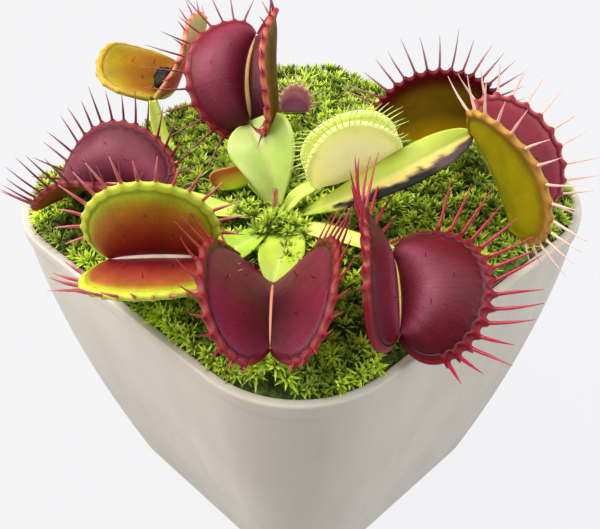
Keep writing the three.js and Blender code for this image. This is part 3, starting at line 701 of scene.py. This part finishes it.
def shoot_places(rng, spacing):
    """Uneven staggered rows over the moss, and one row right along its edge."""
    steps = np.arange(-MOSS_HALF, MOSS_HALF, spacing)
    x, y = np.meshgrid(steps, steps)
    x = x + (np.arange(len(steps)) % 2)[:, None] * spacing / 2
    x = (x + rng.uniform(-SHOOT_JITTER, SHOOT_JITTER, x.shape) * spacing).ravel()
    y = (y + rng.uniform(-SHOOT_JITTER, SHOOT_JITTER, y.shape) * spacing).ravel()
    keep = wall_share(x, y) < 0.97
    edge = rounded_square(MOSS_HALF * EDGE_ROW, MOSS_CORNER * EDGE_ROW, steps=40)
    gone = np.concatenate([[0], np.cumsum(np.linalg.norm(np.diff(edge, axis=0), axis=1))])
    along = np.arange(0, gone[-1], spacing * 0.8)
    return [np.append(inside[keep], np.interp(along, gone, rim)) for inside, rim in zip((x, y), edge.T)]


def moss_layer(rng, spacing, depth, patterns, tones, patches):
    """Shoots about the given spacing apart, the given depth under the moss top."""
    x, y = shoot_places(rng, spacing)
    share = wall_share(x, y)
    where = stacked(x, y, 0)
    clump = ripple(where, 4.6, 3.0)
    size = rng.uniform(0.75, 1.25, len(x)) * (1 + 0.15 * clump)
    z = moss_top(x, y, share) - depth + 0.6 * clump + rng.uniform(-0.8, 0.6, len(x))
    for tuft_x, tuft_y, radius, height in SHOOT_TUFTS:
        z = z + height * np.exp(-(((x - tuft_x) ** 2 + (y - tuft_y) ** 2) / radius ** 2) ** 1.5)
    outward = stacked(x, y) / np.maximum(np.hypot(x, y), 1e-6)[:, None]
    lean = (share ** 7 * 0.75)[:, None] * outward
    lean = lean + rng.normal(0, 0.26, lean.shape)
    spin = rng.uniform(0, 2 * math.pi, len(x))
    up = unit(stacked(lean[:, 0], lean[:, 1], 1))
    side = unit(np.cross(up, stacked(np.sin(spin), -np.cos(spin), 0)))
    other = np.cross(up, side)
    dark, middle, tip = linear(tones)
    tone = np.clip(0.5 + 0.5 * ripple(where, 8.0, 8.0) + rng.normal(0, 0.28, len(x)), 0, 1)
    for k in range(len(x)):
        points, faces, shades = patterns[rng.integers(len(patterns))]
        turned = points[:, :1] * side[k] + points[:, 1:2] * other[k] + points[:, 2:] * up[k]
        low = blend(dark, middle, np.clip(shades * 2, 0, 1))
        tints = blend(low, tip, np.clip(shades * 2 - 1, 0, 1)) * (0.4 + 0.85 * tone[k])
        patches[(x[k] > 0) + 2 * (y[k] > 0)].add(turned * size[k] + (x[k], y[k], z[k]), faces, tints)


def make_moss(material):
    """Star-shaped shoots all over the cushion, in four patches: low dark ones and tall bright ones."""
    rng = np.random.default_rng(7)
    coarse = 1.0
    patches = [Shape() for _ in range(4)]
    low = [shoot_pattern(rng, 11, 1.7, 10, 60) for _ in range(6)]
    moss_layer(rng, 1.75 * coarse, 1.3, low, LOW_SHOOT_TINTS, patches)
    tall = [shoot_pattern(rng, 17, 2.9, 10, 74) for _ in range(9)]
    moss_layer(rng, 2.45 * coarse, 0.3, tall, TALL_SHOOT_TINTS, patches)
    for name, patch in zip("abcd", patches):
        patch.build(f"moss_shoots_{name}", [material], "moss")


# Crown

def crown_grid(radius, z):
    """Rings round the crown's axis, at each height."""
    angle = ring_angles(radius.shape[1])
    return stacked(CROWN_AT[0] + radius * np.cos(angle), CROWN_AT[1] + radius * np.sin(angle), z)


def make_crown(material):
    shape = Shape()
    angle = ring_angles(40)
    radii, heights = np.array(CROWN_PROFILE).T
    z = np.linspace(heights[0], heights[-1], 26)[:, None]
    grid = crown_grid(np.interp(z, heights, radii) * (1 + 0.1 * np.sin(5 * angle + z * 0.5)), z)
    tints = toward(linear((206, 190, 130)), (150, 96, 70), np.clip(0.5 + 0.6 * ripple(grid, 1.8), 0, 1))
    shape.add_grid(grid, tints)
    z = np.linspace(STUMP_FOOT, STUMP_TOP, 12)[:, None]
    grid = crown_grid(STUMP_RADIUS * (1 + 0.08 * np.sin(3 * angle + z)), z)
    cut = smooth_step(STUMP_TOP - CUT_DEPTH, STUMP_TOP, grid[..., 2])
    shape.add_grid(grid, toward(linear((206, 150, 120)), (150, 100, 80), cut))
    shape.build("crown_rosette", [material], "crown", "crown")


# Stalks

def curve_points(knots, count):
    """Points along the centripetal curve through the knots."""
    knots = np.array(knots, float)
    knots = np.vstack([2 * knots[0] - knots[1], knots, 2 * knots[-1] - knots[-2]])
    points = []
    for place in np.linspace(0, len(knots) - 3, count):
        i = min(int(place), len(knots) - 4)
        t = place - i
        a, b, c, d = knots[i:i + 4]
        before, within, after = (np.linalg.norm(q - p) ** 0.5 for p, q in ((a, b), (b, c), (c, d)))
        first = within * ((b - a) / before - (c - a) / (before + within) + (c - b) / within)
        last = within * ((c - b) / within - (d - b) / (within + after) + (d - c) / after)
        points.append(b + first * t + (3 * (c - b) - 2 * first - last) * t ** 2
                      + (2 * (b - c) + first + last) * t ** 3)
    return np.array(points)


def make_stalk(name, spec, material):
    """A winged blade: a thick rib under a shallow groove, and a thin wavy wing on each side that rises outwards."""
    middle = curve_points(spec["stalk"], STALK_ROWS)
    along = unit(np.gradient(middle, axis=0))
    face = np.array(spec["face"], float)
    face = unit(face - along * (along @ face)[:, None])
    across = np.cross(along, face)
    s = np.linspace(0, 1, STALK_ROWS)[:, None]
    u = np.linspace(-1, 1, STALK_COLUMNS)[None, :]
    half = STALK_END_HALF + (spec["half_width"] - STALK_END_HALF) * np.sin(math.pi * s ** spec["shoulder"]) ** 0.7
    fold = spec["fold"] * DEGREE
    out = half * u * math.cos(fold)
    wave = 0.12 * half * u ** 2 * np.sin(9 * s + 1.5 * u)
    lift = half * np.abs(u) ** 1.15 * math.sin(fold) + wave + STALK_LIFT
    top, low = (middle[:, None] + across[:, None] * out[..., None] + face[:, None] * (lift - depth)[..., None]
                for depth in (GROOVE_DEPTH * hump(u * half, 0.5), WING_THICKNESS + RIB_DEPTH * hump(u * half, 0.95)))
    grid = np.concatenate([top, low[:, ::-1]], axis=1)
    spot = np.concatenate([u, u[:, ::-1]], axis=1)

    base = linear(spec["stalk_tint"])
    tints = blend(base, base * STALK_SHADE, np.clip(0.5 + 0.7 * ripple(grid, 4.0, 2.0), 0, 1))
    tints = toward(tints, RIB_TINT, 0.35 * hump(spot * half, 0.6))
    tints = toward(tints, STALK_FOOT_TINT, 0.5 * smooth_step(0.25, 0.0, s))
    dead = 0
    if spec["dead_edge"]:
        uneven = 0.2 * ripple(grid, 1.7, 5.0) + 0.1 * ripple(grid, 0.8, 1.0)
        dead = smooth_step(0.45, 0.53, spot + uneven) * smooth_step(0.3, 0.42, s + uneven * 0.5)
        for tint, share in (
            (YELLOWED_TINT, smooth_step(-0.2, 0.35, spot) * smooth_step(0.3, 0.5, s)),
            (BROWNED_TINT, smooth_step(0.35, 0.46, spot + uneven) * smooth_step(0.32, 0.44, s)),
            (DEAD_TINT, dead),
            (DEAD_TIP_TINT, dead * smooth_step(0.78, 0.84, s)),
        ):
            tints = toward(tints, tint, share)
        grid = grid + (0.22 * ripple(grid, 0.9, 3.0) * dead)[..., None] * face[:, None]
    shape = Shape()
    shape.add_grid(grid, tints, stacked(s * 4, spot, dead))
    shape.build(f"{name}_stalk_blade", [material], "stalk", f"leaf_{name}_stalk")


# Traps

def lobe_of(spec, side):
    """Facts of the left lobe (side 1) or the right one (side -1). A single value holds for both."""
    left = side > 0
    facts = {**spec, **spec["left_look" if left else "right_look"]}
    for key in PAIRED:
        if isinstance(facts[key], tuple):
            facts[key] = facts[key][0 if left else 1]
    return SimpleNamespace(side=side, bare=left and spec["bare_left"], **facts)


def trap_placement(spec):
    turn = (Matrix.Rotation(spec["heading"] * DEGREE, 4, "Z") @ Matrix.Rotation(-spec["rise"] * DEGREE, 4, "Y")
            @ Matrix.Rotation(spec["turn"] * DEGREE, 4, "X"))
    return Matrix.Translation(Vector(spec["at"]) * MM) @ turn


def lobe_outline(lobe, share):
    """Margin of a flat lobe and the way that it faces, at each share of the way round."""
    rise = lobe.flare * lobe.width
    across = lobe.width - rise
    start = math.asin(rise / across)
    along = lobe.hinge / 2 / math.cos(start)
    angle = math.pi + start - share * (math.pi + 2 * start)
    x, w = lobe.hinge / 2 + along * np.cos(angle), rise + across * np.sin(angle)
    if lobe.blunt:
        start_x = BLUNT_FROM * lobe.hinge
        room = lobe.hinge + lobe.blunt - start_x
        x = np.where(x > start_x, start_x + room * (1 - np.exp((start_x - x) / room)), x)
    return x, w, unit(stacked(np.cos(angle) / along, np.sin(angle) / across))


def lobe_place(lobe, x, w):
    """Bends flat points of a lobe into place. Gives them with the ways to the inside and to the margin at each."""
    lean = lobe.open * DEGREE
    curl = lobe.curl * DEGREE / lobe.width
    angle = lean + curl * w
    out = (math.cos(lean) - np.cos(angle)) / curl
    up = (np.sin(angle) - math.sin(lean)) / curl
    end = 2 * x / lobe.hinge - 1
    back = lobe.dome * end ** 2 * (w / lobe.width)
    z = up - back * np.sin(angle) + lobe.arch * (1 - end ** 2)
    points = stacked(x, lobe.side * (out + back * np.cos(angle)), z)
    inner = stacked(0, -lobe.side * np.cos(angle), np.sin(angle))
    return points, inner, stacked(0, lobe.side * np.sin(angle), np.cos(angle))


def margin_way(facing, outwards):
    """The way that the margin faces, once its lobe is bent into place."""
    return facing[..., :1] * (1.0, 0.0, 0.0) + facing[..., 1:] * outwards


def tooth_shares(lobe):
    return np.linspace(*lobe.spread, lobe.bristles)


def toothed_part(lobe, share):
    """1 along the part of the margin that has teeth, 0 elsewhere. A margin without teeth is 1 all along."""
    shares = tooth_shares(lobe)
    if not len(shares):
        return np.ones_like(share)
    first, last, pitch = shares[0], shares[-1], shares[1] - shares[0]
    return smooth_step(first - pitch, first, share) * smooth_step(last + pitch, last, share)


def tooth_swell(lobe, share, sharpness):
    """1 where a tooth stands on the margin, falling to 0 between two teeth."""
    shares = tooth_shares(lobe)
    if not len(shares):
        return np.zeros_like(share)
    swell = (0.5 + 0.5 * np.cos(2 * math.pi * (share - shares[0]) / (shares[1] - shares[0]))) ** sharpness
    return swell * toothed_part(lobe, share)


def bulge_at(lobe, share, v):
    """How far the sheet of a lobe stands out on its inside."""
    return lobe.bulge * np.sin(math.pi * v ** 0.9) * np.sin(math.pi * share ** lobe.belly) ** 0.7


def lobe_tints(lobe, share, v, gone, near_end, inside, outside):
    """Tints of a lobe's inside, rim and back, side by side."""
    band = lobe.band
    blade = colour_run(lobe.inner, v) * (1 + 0.14 * ripple(inside, 3.6, 1.0 + lobe.side))[..., None]
    blade = toward(blade, lobe.heel, 0.7 * smooth_step(lobe.heel_reach, 0.02, share))
    tooth = tooth_swell(lobe, share, 1.2)
    on_band = smooth_step(1.1 * band, 0.75 * band, gone) * near_end
    flame = smooth_step(0.25, 0.75, tooth + 0.35 - gone / band) * on_band
    blade = toward(blade, lobe.band_tint, 0.85 * on_band)
    # Painted shade: the groove inside the band is darkened by each leaf's factor.
    blade = blend(blade, blade * lobe.crease, hump(gone - band, 0.3 * band) * near_end)
    blade = toward(blade, lobe.rim, flame)
    back = colour_run(lobe.outer, BACK_V) * (1 + 0.12 * ripple(outside, 3.4, 4.0 + lobe.side))[..., None]
    rim = toward(linear(lobe.rim), lobe.bead, toothed_part(lobe, share) * (1 - tooth))
    rim = blend(rim, blade[:, -1:], 1 - near_end)
    return np.concatenate([blade, np.repeat(rim, len(RIM_ANGLES), axis=1), back], axis=1)


def add_lobe(shape, lobe):
    """One lobe: a blade, a groove near the margin, then a fleshy band with teeth. Share runs round the margin, v from
    the hinge to the margin, and gone is how many millimetres are left to it."""
    share = np.linspace(0.012, 0.988, LOBE_ROWS if lobe.hinge > 10 else SMALL_LOBE_ROWS)[:, None]
    margin_x, margin_w, facing = lobe_outline(lobe, share)
    small = min(1.0, lobe.width / FULL_WIDTH)
    band = lobe.band
    swell = tooth_swell(lobe, share, 2.6) * lobe.tooth * (0.5 if lobe.bare else 1.0)
    foot = lobe.hinge * share
    span = np.hypot(margin_x - foot, margin_w)
    near_end = smooth_step(0.02, 0.14, share) * smooth_step(0.98, 0.86, share)
    band_v = 1 - 1.35 * band / np.maximum(span, 3 * band)
    inner_v = np.concatenate([band_v * BLADE_V, band_v + (1 - band_v) * BAND_V], axis=1)
    rim_v = np.ones((len(share), len(RIM_ANGLES)))
    outer_v = np.ones_like(share) * BACK_V

    def at(v):
        gone = span * (1 - v)
        spread = swell * smooth_step(1.6 * band, 0, gone)
        x = foot + (margin_x - foot) * v + facing[..., 0] * spread
        w = margin_w * v + facing[..., 1] * spread
        points, inner, outwards = lobe_place(lobe, x, w)
        lift = bulge_at(lobe, share, v) + 0.14 * small * ripple(points, 8.0, lobe.side)
        thick = LOBE_THICKNESS + (RIM_THICKNESS - LOBE_THICKNESS) * hump(gone, 0.9)
        return points + inner * lift[..., None], inner, outwards, gone, thick * (0.55 + 0.45 * small)

    points, inner, _, gone, _ = at(inner_v)
    veins = 0.015 * np.sin(share * 61 + 1.5 * np.sin(share * 17)) * np.sin(math.pi * inner_v)
    groove = -0.3 * hump(gone - band, 0.3 * band) * small * near_end
    plump = 0.22 * hump(gone - 0.45 * band, 0.4 * band) * small * near_end
    inside = points + inner * (veins + (groove + plump) * band / 1.5)[..., None]
    points, inner, _, _, thick = at(outer_v)
    outside = points - inner * thick[..., None]
    points, inner, outwards, _, thick = at(np.ones_like(share))
    rim = points + inner * (thick * (np.cos(RIM_ANGLES) - 1) / 2)[..., None] \
        + margin_way(facing, outwards) * (thick * np.sin(RIM_ANGLES) / 2)[..., None]

    grid = np.concatenate([inside, rim, outside], axis=1)
    tints = lobe_tints(lobe, share, inner_v, gone, near_end, inside, outside)
    v = np.concatenate([inner_v, rim_v, outer_v], axis=1)
    veined = np.concatenate([np.where(gone > band, 1.0, 0.2), 0 * rim_v, np.full_like(outer_v, 0.3)], axis=1)
    marks = stacked(share, v * 0.2, veined * lobe.veins)
    kinds = np.repeat((FLESH, FLESH_BACK), (v.shape[1] - len(BACK_V), len(BACK_V)))
    side = lobe.side
    shape.add_grid(grid[:, ::side], tints[:, ::side], marks[:, ::side], kinds[::side])


def add_tubes(shape, roots, ways, bends, lengths, radii, tints, kind, sides=6, rings=10):
    """Tapered curved hairs. Four radii and three tints run from the root to the tip."""
    t = np.linspace(0, 1, rings)[:, None]
    angle = ring_angles(sides)[:, None]
    radius = np.interp(t, (0, 0.1, 0.45, 1), radii)[..., None]
    colours = colour_run(dict(zip((0, 0.3, 1), tints)), t)
    for root, way, bend, length in zip(roots, ways, bends, lengths):
        centre = root + way * (length * t) + bend * (length * t ** 2)
        along = unit(np.gradient(centre, axis=0))
        first = unit(np.cross(along, (0, 0, 1.0) if abs(way[2]) < 0.9 else (1.0, 0, 0)))
        second = np.cross(along, first)
        ring = first[:, None] * np.cos(angle) + second[:, None] * np.sin(angle)
        shape.add_grid((centre[:, None] + ring * radius)[:, ::-1], colours, kind=kind)


def add_bristles(shape, lobe, rng):
    """Stiff hairs, one on each tooth."""
    shares = tooth_shares(lobe)
    x, w, facing = lobe_outline(lobe, shares)
    points, inner, outwards = lobe_place(lobe, x, w)
    flat = margin_way(facing, outwards)
    lean = lobe.lean * DEGREE
    ways = unit(flat * math.cos(lean) + inner * math.sin(lean) + rng.normal(0, 0.06, flat.shape))
    lengths = lobe.bristle * (0.7 + 0.3 * np.sin(math.pi * shares) ** 0.8) * rng.uniform(0.85, 1.12, len(shares))
    lengths = lengths * (np.linspace(*lobe.reach, len(shares)) if isinstance(lobe.reach, tuple) else lobe.reach)
    bends = inner * rng.uniform(0.0, 0.16, len(shares))[:, None] + rng.normal(0, 0.04, flat.shape)
    size = BRISTLE_ROOT_RADIUS * lobe.slim * (0.5 + 0.5 * min(1.0, lobe.width / FULL_WIDTH))
    roots = points - inner * RIM_THICKNESS / 2 + flat * (lobe.tooth - 0.5)
    add_tubes(shape, roots, ways, bends, lengths, np.array(BRISTLE_RADII) * size, lobe.bristle_tints, STIFF)


def add_trigger_hairs(shape, lobe, rng):
    """Three fine hairs stand on the inside of a lobe."""
    share, v = np.array(TRIGGER_PLACES).T
    x, w, _ = lobe_outline(lobe, share)
    foot = lobe.hinge * share
    points, inner, outwards = lobe_place(lobe, foot + (x - foot) * v, w * v)
    points = points + inner * bulge_at(lobe, share, v)[:, None]
    ways = inner + rng.normal(0, 0.12, inner.shape)
    lengths = np.full(len(share), 0.1 * lobe.width)
    add_tubes(shape, points, ways, outwards * 0.1, lengths, TRIGGER_RADII, TRIGGER_TINTS, STIFF, sides=5, rings=5)


def add_midrib(shape, lobe):
    """The hinge: a pale cord inside the trap and a thick green back outside."""
    t = np.linspace(0, 1, 40)[:, None]
    end = 2 * t - 1
    angle = ring_angles(16)
    on_inside = np.sin(angle) > 0
    size = lobe.hinge / 20
    taper = np.clip(1.02 - np.abs(end) ** 6, 0.12, 1) * (1 - 0.45 * t)
    across = np.where(on_inside, 0.6 * lobe.cord, 0.95) * size * taper * np.cos(angle)
    height = np.where(on_inside, 0.5 * lobe.cord, 1.15) * size * taper * np.sin(angle)
    grid = stacked(lobe.hinge * t, across, lobe.arch * (1 - end ** 2) + height - 0.02)
    tints = toward(linear(TRAP_BACK_TINT), lobe.midrib, smooth_step(-0.3, 0.3, np.sin(angle)))
    shape.add_grid(grid[:, ::-1], (tints * (1 + 0.1 * ripple(grid, 1.5))[..., None])[:, ::-1])


def make_trap(name, spec, materials, rng):
    shape = Shape()
    for side in (1, -1):
        lobe = lobe_of(spec, side)
        add_lobe(shape, lobe)
        if lobe.bristles and not lobe.bare:
            add_bristles(shape, lobe, rng)
        if lobe.bristles:
            add_trigger_hairs(shape, lobe, rng)
    add_midrib(shape, lobe)
    slot = TRAP_SLOTS.get(name, "trap_maroon")
    shape.build(f"{name}_trap_lobes", materials, slot, f"leaf_{name}_trap", trap_placement(spec))


def make_husk(material):
    """Shrivelled body with a few bent legs, dead on its trap's hinge."""
    shape = Shape()
    rng = np.random.default_rng(3)
    across = ring_angles(36)
    rise = np.linspace(-0.48 * math.pi, 0.48 * math.pi, 24)[:, None]
    ball = stacked(np.cos(rise) * np.cos(across), np.cos(rise) * np.sin(across), np.sin(rise))
    swell = 1 + 0.16 * ripple(ball, 0.5, 2.0) - 0.12 * np.abs(np.sin(4.5 * ball[..., 0]))
    grid = ball * swell[..., None] * HUSK_SIZE
    shape.add_grid(grid, toward(linear(HUSK_TINT), HUSK_WORN_TINT, smooth_step(0.55, 1.0, ripple(grid, 0.9, 7.0))))
    legs = len(LEG_ANGLES)
    ways = stacked(np.cos(LEG_ANGLES), np.sin(LEG_ANGLES), 0.3)
    bends = (0, 0, -0.5) + rng.normal(0, 0.15, (legs, 3))
    add_tubes(shape, ways * HUSK_SIZE * 0.8, ways, bends, np.full(legs, LEG_LENGTH), LEG_RADII, LEG_TINTS, FLESH,
              sides=5, rings=7)
    placement = trap_placement(LEAVES[HUSK_LEAF]) @ Matrix.Translation(Vector(HUSK_PLACE) * MM)
    shape.build("dried_insect", [material], "husk", "insect_husk", placement)


# Surroundings

def make_camera():
    """The camera. Gives its turn, whose columns are the ways to the right, up and back in its view."""
    yaw, pitch, roll = (angle * DEGREE for angle in (CAMERA_YAW, CAMERA_PITCH, CAMERA_ROLL))
    turn = (Matrix.Rotation(yaw, 4, "Z") @ Matrix.Rotation(math.pi / 2 - pitch, 4, "X")
            @ Matrix.Rotation(roll, 4, "Z"))
    data = bpy.data.cameras.new("camera")
    data.sensor_fit = "HORIZONTAL"
    data.sensor_width = SENSOR_WIDTH
    data.lens = SENSOR_WIDTH * CAMERA_FOCAL_PX / IMAGE_WIDTH
    data.clip_start = 0.01
    bpy.context.scene.camera = new_object("camera", data, Matrix.Translation(Vector(CAMERA_EYE) * MM) @ turn)
    return turn


def make_lights(turn):
    """Square soft lights that look at their targets, and a faint sky."""
    right, _, back, _ = turn.col
    level_back = Vector((back.x, back.y, 0)).normalized()
    for name, (target, (sideways, backwards, up), size, power, colour) in LIGHTS.items():
        data = bpy.data.lights.new(name, "AREA")
        data.shape, data.size, data.energy, data.color = "SQUARE", size, power, colour
        away = right.xyz * sideways + Vector((0, 0, up)) + level_back * backwards
        aim = away.to_track_quat("Z", "Y").to_matrix().to_4x4()
        new_object(name, data, Matrix.Translation((Vector(target) + away) * MM) @ aim)
    world = bpy.data.worlds.new("studio")
    world.use_nodes = True
    backdrop = world.node_tree.nodes["Background"]
    backdrop.inputs["Color"].default_value = SKY_TINT
    backdrop.inputs["Strength"].default_value = SKY_STRENGTH
    bpy.context.scene.world = world
    bpy.context.scene.view_settings.view_transform = "Standard"


def make_floor(material):
    mesh = bpy.data.meshes.new("floor")
    corners = [(x * FLOOR_HALF_M, y * FLOOR_HALF_M, 0) for x, y in ((-1, -1), (1, -1), (1, 1), (-1, 1))]
    mesh.from_pydata(corners, [], [(0, 1, 2, 3)])
    mesh.materials.append(material)
    floor = new_object("floor", mesh)


make_lights(make_camera())
make_floor(floor_material())
make_pot(pot_material())
make_ground(crumbly_material(
    "moss_ground", 0.85, 700.0, 5.0, {0.3: (24, 28, 8), 0.5: (66, 88, 20), 0.72: (110, 136, 30)},
    (1500.0, 4.0, 0.0006)))
make_moss(tinted_material("moss_leaves", 0.5, (0.8, 300.0, 0.75, 1.15), Sheen_Weight=0.15, Sheen_Roughness=0.4,
                          Specular_IOR_Level=0.35))
make_crown(tinted_material("crown_skin", 0.55, (0.9, 700.0, 0.7, 1.15), (1100.0, 4.0, 0.0002), Subsurface_Weight=0.1,
                           Subsurface_Scale=0.001))
make_husk(tinted_material("husk_shell", 0.36, (0.9, 800.0, 0.5, 1.5), (1700.0, 4.0, 0.0004), Specular_IOR_Level=0.2))
stiff_flesh = tinted_material("bristle_flesh", 0.34, (0.5, 900.0, 0.82, 1.12), Subsurface_Weight=0.2,
                              Subsurface_Scale=0.001, Subsurface_Radius=(1.0, 0.4, 0.3))
usual_flesh = [flesh_material("trap_flesh", 0.2, 0.08), stiff_flesh, flesh_material("trap_back", 0.02, 0.08)]
# The pale trap's flesh glows a little: painted light standing in for light shining through its thin lobes.
glowing_flesh = flesh_material("trap_flesh_pale", 0.15, 0.75, 0.0042, (1.0, 0.9, 0.5), Emission_Strength=0.18,
                           Emission_Color=(0.8, 0.72, 0.3, 1))
pale_flesh = [glowing_flesh, stiff_flesh, glowing_flesh]
blade_material = stalk_material()
draws = np.random.default_rng(11)
for leaf_name, leaf_spec in LEAVES.items():
    make_stalk(leaf_name, leaf_spec, blade_material)
    make_trap(leaf_name, leaf_spec, pale_flesh if leaf_name == "centre" else usual_flesh, draws)

mix_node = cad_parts["growing_mix"]
mix_node.data.materials.clear()
mix_node.data.materials.append(crumbly_material(
    "peat_mix", 0.95, 900.0, 6.0, {0.3: (24, 16, 10), 0.55: (52, 36, 24), 0.7: (96, 74, 52)}, (1300.0, 6.0, 0.0008)))
